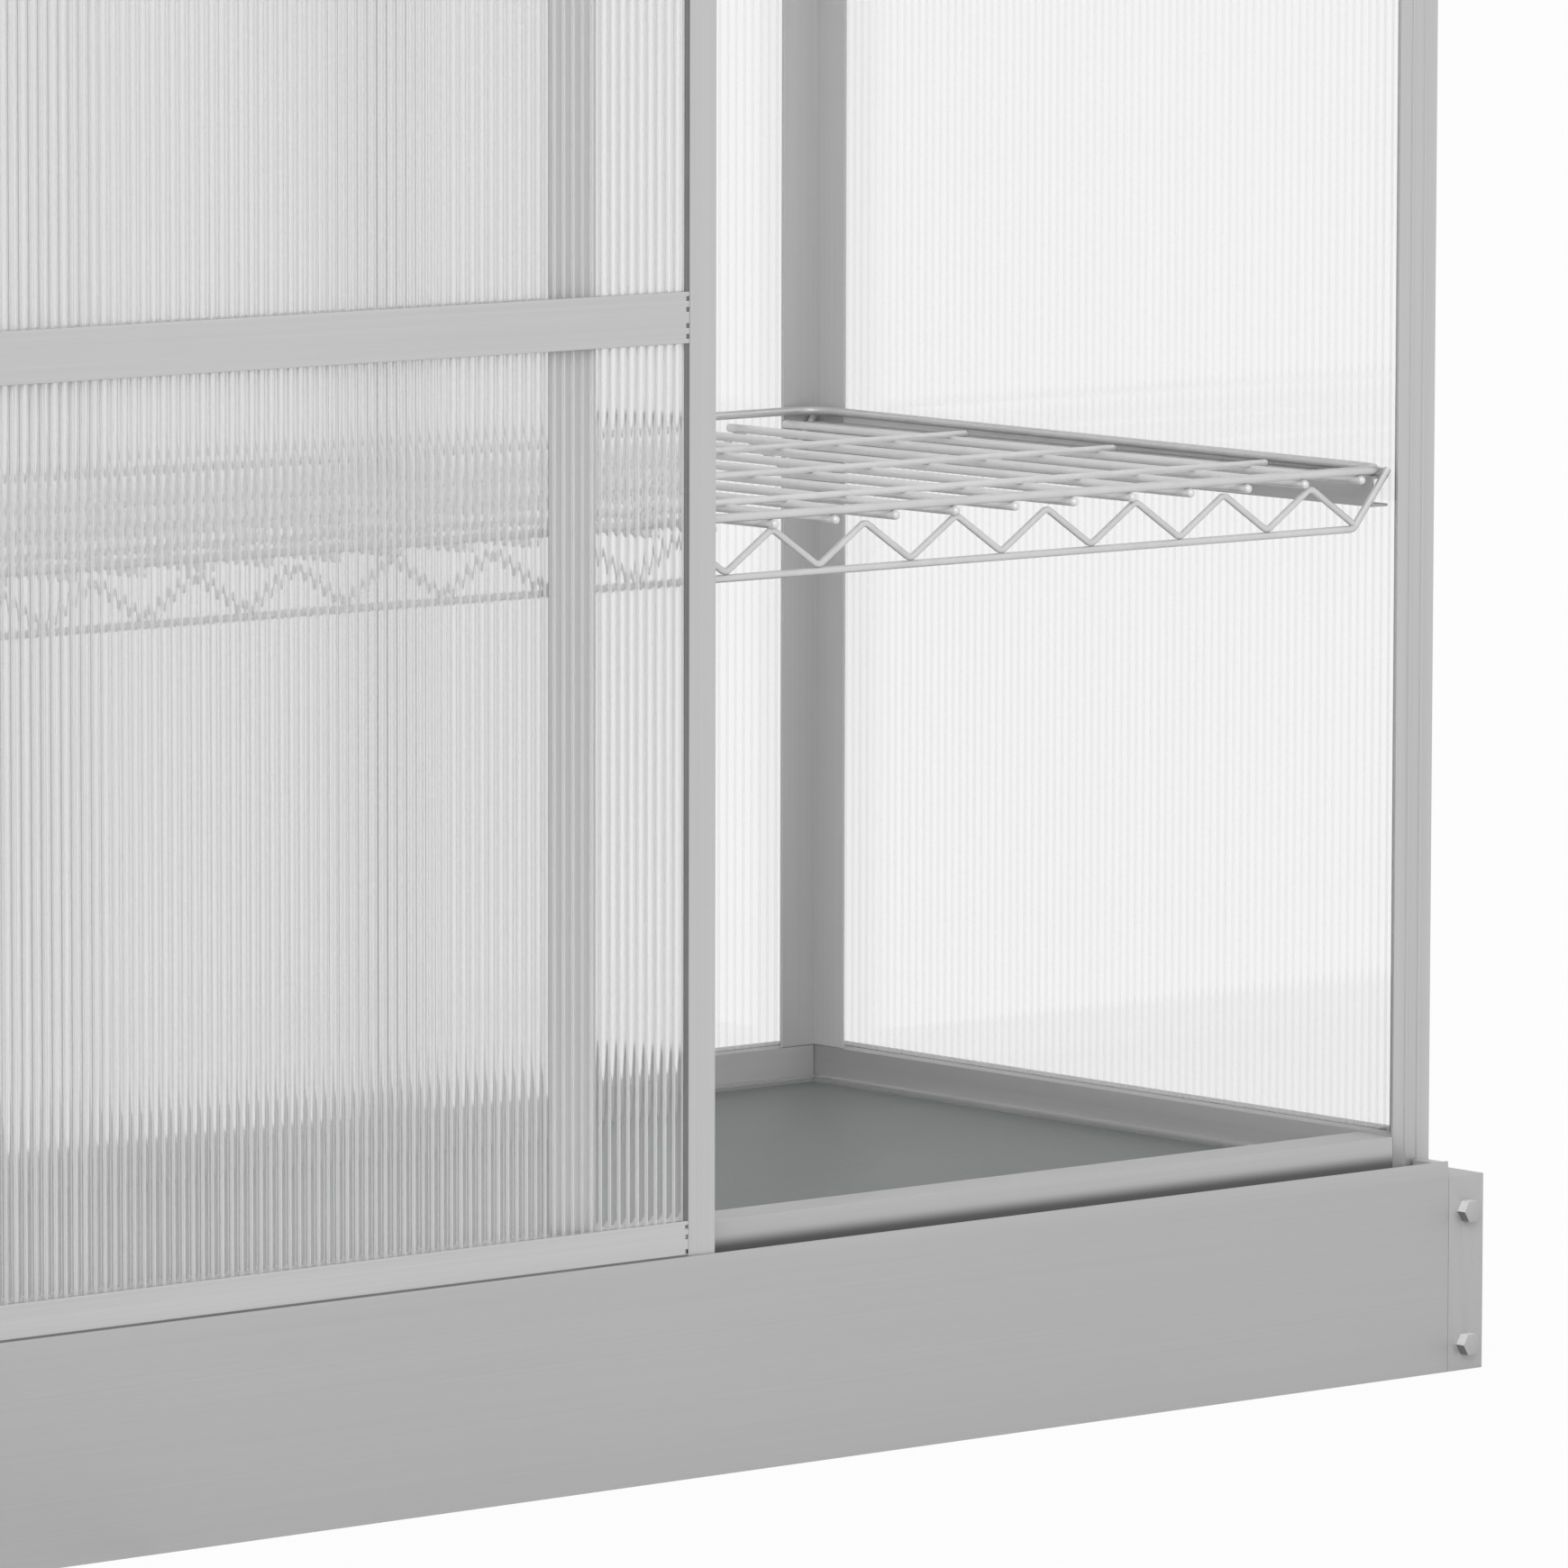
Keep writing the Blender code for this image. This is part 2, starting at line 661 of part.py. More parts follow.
def inset(corners, distance):
    """A convex outline moved inwards by a distance on every edge."""
    points = [Vector(corner) for corner in corners]
    area = sum(p.x * q.y - q.x * p.y for p, q in zip(points, points[1:] + points[:1]))
    result = []
    for before, point, after in zip(points[-1:] + points[:-1], points, points[1:] + points[:1]):
        ways = [(point - before).normalized(), (after - point).normalized()]
        normals = [Vector((-way.y, way.x)) * math.copysign(1, area) for way in ways]
        across_both = (normals[0] + normals[1]).normalized()
        result.append(tuple(point + across_both * distance / across_both.dot(normals[0])))
    return result


def truss_outline(side, top):
    """The bottom chord, its sloping ends and the zigzag above it, as an outline with holes between the wires."""
    low = top - truss_height
    start = side - truss_start
    step = (2 * side - truss_start - truss_end) / truss_steps
    bends = [start - step * index for index in range(truss_steps + 1)]
    last = bends[-1]
    holes = [[(start, low), (side, top), (bends[1], top)],
             [(last, top), (bends[-2], low), (-start, low), (-side, top)]]
    for index in range(1, truss_steps):
        level, tip = (low, top) if index % 2 else (top, low)
        holes.append([(bends[index - 1], level), (bends[index + 1], level), (bends[index], tip)])
    outer = [(-side, top + frame_wire / 2), (-side, top - frame_wire), (-start - frame_wire / 2, low - frame_wire),
             (start + frame_wire / 2, low - frame_wire), (side, top - frame_wire), (side, top + frame_wire / 2)]
    return outer, [inset(hole, frame_wire) for hole in holes]


def shelf_mesh():
    """A welded shelf: a frame wire, deck wires under it, cross wires under those, and a truss front and back."""
    near = back_from_front
    side = half_width - frame_in - shelf_margin
    front, back = shelf_front, back_in - shelf_margin
    frame = 2 * frame_wire
    deck_top = weld_depth - frame
    deck_low = deck_top - 2 * deck_wire
    cross_top = deck_low + weld_depth
    cross_low = cross_top - 2 * deck_wire
    boxes = [((-side, near(start), -frame), (side, near(start + frame), 0)) for start in (front, back - frame)]
    for end in (-1, 1):
        boxes.append(((end * side, near(front), -frame), (end * (side - frame), near(back), 0)))
    for index in range(deck_wire_count):
        x = (half_width - deck_start) * (1 - 2 * index / (deck_wire_count - 1))
        boxes.append(((x - deck_wire, near(front + frame_wire - deck_past), deck_low),
                      (x + deck_wire, near(back - frame_wire / 2), deck_top)))
    cross_end = half_width - cross_start
    for index in range(cross_wire_count):
        place = cross_wire_front + index * cross_wire_pitch
        boxes.append(((-cross_end, near(place - deck_wire), cross_low), (cross_end, near(place + deck_wire), cross_top)))
    base = new_object("shelf", block_mesh("shelf", boxes, zinc))
    outer, holes = truss_outline(side - frame_wire, -1.5 * frame_wire)
    for start in (front, back - frame):
        truss = new_object("truss", extrusion("truss", outer, near(start + truss_clear),
                                              near(start + frame - truss_clear), "Y", zinc))
        cut(truss, extrusion("truss holes", holes, near(start - frame), near(start + 2 * frame), "Y", zinc))
        join(base, evaluated_mesh(truss))
        bpy.data.objects.remove(truss)
    form = bmesh.new()
    form.from_mesh(evaluated_mesh(base))
    bpy.data.objects.remove(base)
    bmesh.ops.remove_doubles(form, verts=form.verts, dist=1e-5)
    bmesh.ops.dissolve_limit(form, angle_limit=0.001, verts=form.verts, edges=form.edges)
    return finished("shelf", form, zinc)


def shelves():
    near = back_from_front
    welded = shelf_mesh()
    inner = frame_in + seat_gap + shelf_rail_width
    outer = frame_in + seat_gap
    wall = member_wall
    start = shelf_front + 2 * frame_wire + seat_gap
    end = back_in - shelf_margin - 2 * frame_wire - seat_gap
    for index, where in enumerate(("lower", "middle", "upper")):
        height = lowest_shelf_height + index * shelf_pitch
        new_object(f"shelf_{where}", welded, place=(0, 0, height))
        rail_top = height - 2 * frame_wire - seat_gap
        rail_low = rail_top - shelf_rail_height
        section = [
            (outer, rail_top), (inner, rail_top), (inner, rail_low), (outer, rail_low), (outer, rail_low + wall),
            (inner - wall, rail_low + wall), (inner - wall, rail_top - wall), (outer, rail_top - wall),
        ]
        for side, hand in ((-1, "left"), (1, "right")):
            name = f"shelf_rail_{where}_{hand}"
            outline = [(across(side, u), v) for u, v in section]
            new_object(name, extrusion(name, outline, near(start), near(end), "Y", aluminium))


def door(hand, outer_side, plane, shift):
    """One door, modelled about its own middle: outer_side is 1 where its outer stile is on the right."""
    middle = outer_side * (door_edge - door_width / 2) + shift
    root = bpy.data.objects.new(f"door_{hand}", None)
    root.location = (middle, back_from_front(plane), 0)
    greenhouse.objects.link(root)
    half, wide = door_thickness / 2, door_width / 2
    slot = groove / 2

    def piece(part, mesh, place=(0, 0, 0)):
        return new_object(f"door_{hand}_{part}", mesh, place=place, parent=root)

    def stile(side, width):
        edge, inner = side * wide, side * (wide - width)
        bottom = inner + side * stile_groove
        return [(edge, -half), (inner, -half), (inner, -slot), (bottom, -slot), (bottom, slot), (inner, slot),
                (inner, half), (edge, half)]

    made = {}
    for part, side, width in (("stile_outer", outer_side, stile_width), ("stile_meeting", -outer_side, meeting_width)):
        made[part] = piece(part, extrusion(part, stile(side, width), door_bottom, door_top, "Z", aluminium))
        cut(made[part], box_mesh("rail slot", (-door_width, -wheel_slot / 2, 0),
                                 (door_width, wheel_slot / 2, rib_top + slide_gap), aluminium))
    left, right = (stile_width, meeting_width)[::-outer_side]
    start, end = -wide + left + seat_gap, wide - right - seat_gap

    wheel_room = axle_height + wheel_radius + slide_gap
    slit = wheel_slot / 2
    low, high = door_bottom, door_bottom + door_rail_height
    rail = [(-half, low), (-half, high), (-slot, high), (-slot, high - door_rail_groove),
            (slot, high - door_rail_groove), (slot, high), (half, high), (half, low), (slit, low),
            (slit, wheel_room), (-slit, wheel_room), (-slit, low)]
    bottom_rail = piece("rail_bottom", extrusion("rail_bottom", rail, start, end, "X", aluminium))
    low, high = door_top - door_rail_height, door_top
    rail = [(-half, low), (-half, high), (-slot, high), (-slot, low + 2 * door_rail_groove),
            (slot, low + 2 * door_rail_groove), (slot, high), (half, high), (half, low), (slot, low),
            (slot, low + door_rail_groove), (-slot, low + door_rail_groove), (-slot, low)]
    piece("rail_top", extrusion("rail_top", rail, start, end, "X", aluminium))

    sheet_left, sheet_right = start - seat_gap - stile_groove + seat_gap, end + seat_gap + stile_groove - seat_gap
    sheet_low = door_bottom + door_rail_height - door_rail_groove + seat_gap
    sheet_high = door_top - door_rail_height + door_rail_groove - seat_gap
    half_sheet = sheet_thickness / 2
    sheet = piece("panel", box_mesh("panel", (sheet_left, -half_sheet, sheet_low), (sheet_right, half_sheet, sheet_high),
                                    clear))
    for index in range(1, pane_count):
        bar_low = door_bottom + door_rail_height + index * pane + (index - 1) * crossbar_height
        bar_high = bar_low + crossbar_height
        bar = piece(f"crossbar_{index}", box_mesh("crossbar", (start, -half, bar_low), (end, -slot, bar_high), aluminium))
        join(bar, box_mesh("back strap", (start, slot, bar_low), (end, half, bar_high), aluminium))
        for rivet in range(rivet_count):
            centre = (start + (end - start) * (rivet + 0.5) / rivet_count, (bar_low + bar_high) / 2)
            reach = (half + slot) / 2
            join(bar, rod_mesh("rivet", rivet_radius, -reach, reach, "Y", centre, aluminium, sides=8))
            cut(sheet, rod_mesh("rivet hole", rivet_radius + seat_gap, -half, half, "Y", centre, clear, sides=8))

    for index, side in ((1, -1), (2, 1)):
        x = side * (wide - meeting_width - wheel_inset)
        pocket = slit + axle_seat + seat_gap / 2
        cut(bottom_rail, rod_mesh("axle pocket", axle_radius + seat_gap, -pocket, pocket, "Y", (x, axle_height),
                                  aluminium, sides=12))
        profile = [(0, -slit - axle_seat / 2), (axle_radius, -slit - axle_seat / 2), (axle_radius, -wheel_width / 2),
                   (wheel_radius, -wheel_width / 2), (wheel_radius, wheel_width / 2), (axle_radius, wheel_width / 2),
                   (axle_radius, slit + axle_seat / 2), (0, slit + axle_seat / 2)]
        piece(f"wheel_{index}", turned(profile, nylon), place=(x, 0, axle_height))

    stile_outer = made["stile_outer"]
    x = outer_side * (wide - stile_width / 2)
    if outer_side > 0:
        foot = -half - seat_gap
        points = [Vector((x, foot, pull_height)), Vector((x, foot - grip_reach, pull_height)),
                  Vector((x, foot - grip_reach, pull_height + grip_length)), Vector((x, foot, pull_height + grip_length))]
        piece("grip", wire_mesh("grip", rounded(points, 2 * grip_radius, 4), grip_radius, zinc, sides_level=2))
    else:
        x = outer_side * (wide - (stile_width - stile_groove) / 2)
        low, high = pull_height, pull_height + cup_length
        room = cup_width / 2 + seat_gap
        cut(stile_outer, box_mesh("cup seat", (x - room, -2 * half, low - seat_gap),
                                  (x + room, -half + cup_depth + seat_gap, high + seat_gap), aluminium))
        cup = piece("cup_pull", box_mesh("cup", (x - cup_width / 2, -half, low),
                                         (x + cup_width / 2, -half + cup_depth, high), nylon))
        cut(cup, box_mesh("cup hollow", (x - cup_width / 2 + cup_wall, -2 * half, low + cup_wall),
                          (x + cup_width / 2 - cup_wall, -half + cup_depth - cup_wall, high - cup_wall), nylon))


def turned(profile, material):
    """A solid of revolution about the Y axis, from (radius, y) points that start and end on the axis."""
    form = bmesh.new()
    line = [form.verts.new((radius, y, 0)) for radius, y in profile]
    edges = [form.edges.new(pair) for pair in zip(line, line[1:])]
    bmesh.ops.spin(form, geom=line + edges, cent=(0, 0, 0), axis=(0, 1, 0), angle=2 * math.pi, steps=20,
                   use_duplicate=False)
    return finished("wheel", form, material)


for old in list(bpy.data.objects):
    bpy.data.objects.remove(old)
greenhouse = bpy.data.collections.new("greenhouse")
greenhouse_helpers = bpy.data.collections.new("helpers")
cutters = bpy.data.collections.new("cutters")
bpy.context.scene.collection.children.link(greenhouse)
bpy.context.scene.collection.children.link(greenhouse_helpers)
greenhouse_helpers.children.link(cutters)

aluminium = paint("aluminium", (0.52, 0.52, 0.52), 0.45, 0.6)
steel = paint("folded steel", (0.44, 0.44, 0.44), 0.5, 0.5)
zinc = paint("zinc wire", (0.6, 0.6, 0.6), 0.4, 0.6)
clear = paint("twin-wall sheet", (0.85, 0.86, 0.86), 0.3, 0.0, 0.4)
board = paint("floor sheet", (0.2, 0.22, 0.21), 0.6, 0.0)
nylon = paint("nylon", (0.1, 0.1, 0.1), 0.5, 0.0)

plinth_beams()
plinth_sides()
corner_brackets()
sills()
posts()
top_frame()
walls()
shelves()
door("left", -1, inner_track, 0)
door("right", 1, outer_track, -right_door_open)
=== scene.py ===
# Cabinet greenhouse: twin-wall sheets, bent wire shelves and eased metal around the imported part.
import json
import math

import bmesh
import bpy
from mathutils import Matrix, Vector


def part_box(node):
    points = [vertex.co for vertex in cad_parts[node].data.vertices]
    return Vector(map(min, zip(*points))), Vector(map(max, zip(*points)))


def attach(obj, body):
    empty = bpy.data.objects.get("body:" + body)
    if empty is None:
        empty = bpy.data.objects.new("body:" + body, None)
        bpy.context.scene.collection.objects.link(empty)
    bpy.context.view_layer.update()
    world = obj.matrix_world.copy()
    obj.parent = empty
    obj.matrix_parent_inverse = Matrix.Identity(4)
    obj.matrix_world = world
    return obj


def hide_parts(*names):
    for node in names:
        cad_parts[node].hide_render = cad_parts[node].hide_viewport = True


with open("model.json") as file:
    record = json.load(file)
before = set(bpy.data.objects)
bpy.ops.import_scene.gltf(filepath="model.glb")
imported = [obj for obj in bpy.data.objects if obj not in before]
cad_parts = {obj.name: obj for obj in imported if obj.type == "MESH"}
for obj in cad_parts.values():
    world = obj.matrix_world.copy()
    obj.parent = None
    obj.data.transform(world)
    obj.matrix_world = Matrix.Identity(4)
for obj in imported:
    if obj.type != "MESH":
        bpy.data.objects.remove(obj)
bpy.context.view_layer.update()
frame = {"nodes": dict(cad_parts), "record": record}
nodeBody = {node: body for body, nodes in frame["record"]["behaviour"]["bodies"].items() for node in nodes}
nodeSlot = {row["node"]: row["material_slot"] for row in frame["record"]["subparts"]}
print("frame loaded,", len(frame["nodes"]), "solids")


# Small helpers for node trees and colours

def addNode(tree, kind, feeds=None, **settings):
    made = tree.nodes.new(kind)
    for key, value in settings.items():
        setattr(made, key, value)
    for key, value in (feeds or {}).items():
        if isinstance(value, (list, tuple)) and value and isinstance(value[0], bpy.types.NodeSocket):
            for socket in value:
                tree.links.new(socket, made.inputs[key])
        elif isinstance(value, bpy.types.NodeSocket):
            tree.links.new(value, made.inputs[key])
        else:
            made.inputs[key].default_value = value
    return made


def mathNode(tree, operation, first, second=0.0):
    return addNode(tree, "ShaderNodeMath", {0: first, 1: second}, operation=operation).outputs[0]


def product(tree, first, second):
    return mathNode(tree, "MULTIPLY", first, second)


def vectorNode(tree, x=0.0, y=0.0, z=0.0):
    return addNode(tree, "ShaderNodeCombineXYZ", {"X": x, "Y": y, "Z": z}).outputs[0]


def openTree(name, kind, inputs, outputs):
    tree = bpy.data.node_groups.new(name, kind)
    for label, (socketType, value) in inputs.items():
        socket = tree.interface.new_socket(label, in_out="INPUT", socket_type=socketType)
        if value is not None:
            socket.default_value = value
    for label, socketType in outputs.items():
        tree.interface.new_socket(label, in_out="OUTPUT", socket_type=socketType)
    return tree, tree.nodes.new("NodeGroupInput"), tree.nodes.new("NodeGroupOutput")


def newMaterial(name):
    made = bpy.data.materials.new(name)
    made.use_nodes = True
    return made, made.node_tree, made.node_tree.nodes["Principled BSDF"]


def greyLevel(level, red=1.0, green=1.0, blue=1.0):
    share = level / 255
    value = share / 12.92 if share <= 0.04045 else ((share + 0.055) / 1.055) ** 2.4
    return value * red, value * green, value * blue, 1.0


def greys(light, dark):
    return {"light": greyLevel(light), "dark": greyLevel(dark)}


# Shared shader group: long faint lines, as a die leaves them, over a slow change of tone

grainSizes = {"lineDetail": 3.0, "lineRoughness": 0.6, "toneDetail": 2.0, "lineShare": 0.6,
              "noiseLow": 0.35, "noiseHigh": 0.65, "bumpDepth": 0.0002}


def buildGrainGroup():
    tree, given, result = openTree("grainAndTone", "ShaderNodeTree", {
        "Place": ("NodeSocketVector", None),
        "Stretch": ("NodeSocketVector", (1.0, 1.0, 1.0)),
        "Line Scale": ("NodeSocketFloat", 400.0),
        "Tone Scale": ("NodeSocketFloat", 5.0),
        "Light": ("NodeSocketColor", (0.8, 0.8, 0.8, 1.0)),
        "Dark": ("NodeSocketColor", (0.6, 0.6, 0.6, 1.0)),
        "Smooth": ("NodeSocketFloat", 0.35),
        "Rough": ("NodeSocketFloat", 0.5),
    }, {"Colour": "NodeSocketColor", "Roughness": "NodeSocketFloat", "Height": "NodeSocketFloat"})
    size = given.outputs
    drawn = addNode(tree, "ShaderNodeVectorMath", {0: size["Place"], 1: size["Stretch"]},
                    operation="MULTIPLY").outputs[0]
    lines = addNode(tree, "ShaderNodeTexNoise", {
        "Vector": drawn, "Scale": size["Line Scale"], "Detail": grainSizes["lineDetail"],
        "Roughness": grainSizes["lineRoughness"]}).outputs["Fac"]
    tone = addNode(tree, "ShaderNodeTexNoise", {
        "Vector": size["Place"], "Scale": size["Tone Scale"],
        "Detail": grainSizes["toneDetail"]}).outputs["Fac"]
    both = mathNode(tree, "ADD", product(tree, lines, grainSizes["lineShare"]),
                    product(tree, tone, 1.0 - grainSizes["lineShare"]))
    noise = {"Value": both, "From Min": grainSizes["noiseLow"], "From Max": grainSizes["noiseHigh"]}
    share = addNode(tree, "ShaderNodeMapRange", noise).outputs[0]
    colour = addNode(tree, "ShaderNodeMix", {0: share, 6: size["Dark"], 7: size["Light"]}, data_type="RGBA")
    roughness = addNode(tree, "ShaderNodeMapRange", {
        **noise, "To Min": size["Smooth"], "To Max": size["Rough"]}).outputs[0]
    tree.links.new(colour.outputs[2], result.inputs["Colour"])
    tree.links.new(roughness, result.inputs["Roughness"])
    tree.links.new(lines, result.inputs["Height"])
    return tree


grainGroup = buildGrainGroup()


def grainNode(tree, values):
    place = tree.nodes.new("ShaderNodeTexCoord").outputs["Object"]
    return place, addNode(tree, "ShaderNodeGroup", {"Place": place, **values}, node_tree=grainGroup)


def grainMaterial(name, look):
    made, tree, shader = newMaterial(name)
    place, grain = grainNode(tree, {
        "Stretch": look["stretch"], "Line Scale": look["lines"], "Tone Scale": look["tone"],
        "Light": look["light"], "Dark": look["dark"], "Smooth": look["smooth"], "Rough": look["rough"]})
    bump = addNode(tree, "ShaderNodeBump", {
        "Strength": look["relief"], "Distance": grainSizes["bumpDepth"], "Height": grain.outputs["Height"]})
    colour = grain.outputs["Colour"]
    if "low" in look:  # painted shade: darker towards the foot, where the plinth's lip shades the doors' track
        spot = addNode(tree, "ShaderNodeSeparateXYZ", {0: place}).outputs
        share = addNode(tree, "ShaderNodeMapRange", {
            "Value": spot["Z"], "From Min": look["low"], "From Max": look["high"]},
            interpolation_type="SMOOTHSTEP")
        ends = mathNode(tree, "GREATER_THAN", mathNode(tree, "ABSOLUTE", spot["X"]), look["end"])
        kept = mathNode(tree, "MAXIMUM", share.outputs[0], ends)
        colour = addNode(tree, "ShaderNodeMix", {0: kept, 6: greyLevel(look["foot"]), 7: colour},
                         data_type="RGBA").outputs[2]
    tree.links.new(colour, shader.inputs["Base Color"])
    tree.links.new(grain.outputs["Roughness"], shader.inputs["Roughness"])
    tree.links.new(bump.outputs["Normal"], shader.inputs["Normal"])
    shader.inputs["Metallic"].default_value = look["metallic"]
    shader.inputs["Alpha"].default_value = look.get("alpha", 1.0)
    return made


# Finishes: each is drawn along the way that the piece runs

finishLooks = {
    "aluminium": {**greys(197, 190), "metallic": 0.35, "smooth": 0.36, "rough": 0.5,
                  "lines": 520.0, "tone": 3.0, "relief": 0.10},
    "shadedAluminium": {**greys(188, 180), "metallic": 0.25, "smooth": 0.45, "rough": 0.6,
                        "lines": 520.0, "tone": 3.0, "relief": 0.08},
    "postAluminium": {**greys(206, 198), "metallic": 0.2, "smooth": 0.45, "rough": 0.6,
                      "lines": 520.0, "tone": 3.0, "relief": 0.08},
    # painted shade: the sills' darker copy of the aluminium, for the shade inside the cabinet
    "sillShadedAluminium": {**greys(180, 172), "metallic": 0.2, "smooth": 0.45, "rough": 0.6,
                      "lines": 520.0, "tone": 3.0, "relief": 0.08},
    # painted shade: the threshold's tone fades to dark at its foot, behind the plinth's lip
    "trackAluminium": {**greys(190, 183), "metallic": 0.2, "smooth": 0.4, "rough": 0.55,
                       "lines": 520.0, "tone": 3.0, "relief": 0.08,
                       "low": 0.1182, "high": 0.1262, "end": 0.6085, "foot": 92},
    "plinthSteel": {**greys(181, 175), "metallic": 0.15, "smooth": 0.46, "rough": 0.6,
                    "lines": 700.0, "tone": 2.5, "relief": 0.12},
    "shelfWire": {**greys(212, 200), "metallic": 0.4, "smooth": 0.3, "rough": 0.42,
                  "lines": 60.0, "tone": 14.0, "relief": 0.0},
    # painted light: the deck wires take a lighter copy of the shelf wire's finish
    "paintedLightDeckWire": {**greys(228, 217), "metallic": 0.3, "smooth": 0.3, "rough": 0.42,
                 "lines": 60.0, "tone": 14.0, "relief": 0.0},
    "boltZinc": {**greys(205, 182), "metallic": 0.6, "smooth": 0.3, "rough": 0.42,
                 "lines": 900.0, "tone": 60.0, "relief": 0.15},
    "brightZinc": {**greys(244, 236), "metallic": 0.3, "smooth": 0.3, "rough": 0.42,
                   "lines": 300.0, "tone": 6.0, "relief": 0.0},
    "floorSheet": {"light": greyLevel(134, 0.98, 1.02, 1.0), "dark": greyLevel(122, 0.97, 1.02, 1.0),
                   "metallic": 0.0, "smooth": 0.5, "rough": 0.66,
                   "lines": 260.0, "tone": 9.0, "relief": 0.2},
    # partly real dark seals, partly painted shade: strips in the door gaps and the bolts' lower flanks
    "gasket": {**greys(122, 104), "metallic": 0.0, "smooth": 0.5, "rough": 0.7,
               "lines": 800.0, "tone": 30.0, "relief": 0.2},
    "skirting": {**greys(160, 150), "metallic": 0.0, "smooth": 0.5, "rough": 0.6,
                 "lines": 300.0, "tone": 9.0, "relief": 0.0},
    "nylon": {**greys(74, 60), "metallic": 0.0, "smooth": 0.34, "rough": 0.5,
              "lines": 500.0, "tone": 40.0, "relief": 0.1},
}
runStretch = {"upright": (1.0, 1.0, 0.004), "across": (0.004, 1.0, 1.0), "deep": (1.0, 0.004, 1.0),
              "plain": (1.0, 1.0, 1.0)}
madeFinishes = {}


def finish(kind, run="plain"):
    name = kind if run == "plain" else kind + run.capitalize()
    if name not in madeFinishes:
        madeFinishes[name] = grainMaterial(name, {**finishLooks[kind], "stretch": runStretch[run]})
    return madeFinishes[name]


# Twin-wall sheet: clear, a little uneven, and open to light that falls on what stands behind it

sheetLooks = {
    "door": {"run": "upright", "light": 0.96, "dark": 0.94, "haze": 0.09, "milk": 214,
             "roughness": 0.022, "web": 0.55, "swell": 0.00036},
    "wall": {"run": "upright", "light": 0.965, "dark": 0.945, "haze": 0.02, "milk": 205,
             "roughness": 0.02, "web": 0.10, "swell": 0.00005},
    "roof": {"run": "deep", "light": 0.96, "dark": 0.94, "haze": 0.10, "milk": 214,
             "roughness": 0.022, "web": 0.8, "swell": 0.00012},
}
sheetShared = {"ior": 1.5, "lines": 260.0, "tone": 1.5, "milkRoughness": 0.5, "pass": (0.95, 0.95, 0.95, 1.0)}
webLook = {**greys(232, 226), "metallic": 0.0, "smooth": 0.3, "rough": 0.45,
           "lines": 120.0, "tone": 2.0, "relief": 0.0}


def clearMaterial(name, look):
    made, tree, shader = newMaterial(name)
    light, dark = look["light"], look["dark"]
    grain = grainNode(tree, {
        "Stretch": runStretch[look["run"]], "Line Scale": sheetShared["lines"],
        "Tone Scale": sheetShared["tone"], "Light": (light, light, light, 1.0),
        "Dark": (dark, dark, dark, 1.0)})[1]
    tree.links.new(grain.outputs["Colour"], shader.inputs["Base Color"])
    shader.inputs["Roughness"].default_value = look["roughness"]
    shader.inputs["Transmission Weight"].default_value = 1.0
    shader.inputs["IOR"].default_value = sheetShared["ior"]
    milk = addNode(tree, "ShaderNodeBsdfPrincipled", {
        "Base Color": greyLevel(look["milk"]), "Roughness": sheetShared["milkRoughness"]})
    hazy = addNode(tree, "ShaderNodeMixShader", {0: look["haze"], 1: shader.outputs[0], 2: milk.outputs[0]})
    lightThrough(made, sheetShared["pass"], hazy)
    return made


def lightThrough(made, passed, shader=None):
    tree = made.node_tree  # rays that carry light to a matt surface go straight through
    light = tree.nodes.new("ShaderNodeLightPath")
    through = addNode(tree, "ShaderNodeBsdfTransparent", {"Color": passed})
    share = mathNode(tree, "MAXIMUM", light.outputs["Is Shadow Ray"], light.outputs["Is Diffuse Ray"])
    shader = shader or tree.nodes["Principled BSDF"]
    mix = addNode(tree, "ShaderNodeMixShader", {0: share, 1: shader.outputs[0], 2: through.outputs[0]})
    tree.links.new(mix.outputs[0], tree.nodes["Material Output"].inputs["Surface"])


def webMaterial(name, look):
    made = grainMaterial(name, {**webLook, "stretch": runStretch[look["run"]], "alpha": look["web"]})
    lightThrough(made, (1.0, 1.0, 1.0, 1.0))
    return made


clearFinish = {kind: clearMaterial(kind + "Sheet", look) for kind, look in sheetLooks.items()}
webFinish = {kind: webMaterial(kind + "Web", look) for kind, look in sheetLooks.items()}
print("finishes made")


# Shared ways to make and place a piece

meshSizes = {"joinDistance": 1e-6, "treeAngle": math.radians(50), "turnedAngle": math.radians(40),
             "pinSides": 14}


def newPiece(name, mesh):
    piece = bpy.data.objects.new(name, mesh)
    bpy.context.scene.collection.objects.link(piece)
    return piece


def settle(name, mesh, body, slot, *nodes):
    piece = newPiece(name, mesh)
    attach(piece, body)
    if nodes:
        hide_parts(*nodes)


def standIn(node, ending, mesh):
    words = node.split("_")
    name = words[0] + "".join(word.capitalize() for word in words[1:]) + ending
    settle(name, mesh, nodeBody[node], nodeSlot[node], node)


def formMesh(form, name):
    mesh = bpy.data.meshes.new(name)
    form.to_mesh(mesh)
    form.free()
    return mesh


def bakedMesh(holder, sharpAngle=None):
    bpy.context.view_layer.update()
    graph = bpy.context.evaluated_depsgraph_get()
    mesh = bpy.data.meshes.new_from_object(holder.evaluated_get(graph), depsgraph=graph)
    bpy.data.objects.remove(holder)
    if sharpAngle:
        mesh.set_sharp_from_angle(angle=sharpAngle)  # a corner stays crisp beside smooth faces
    return mesh


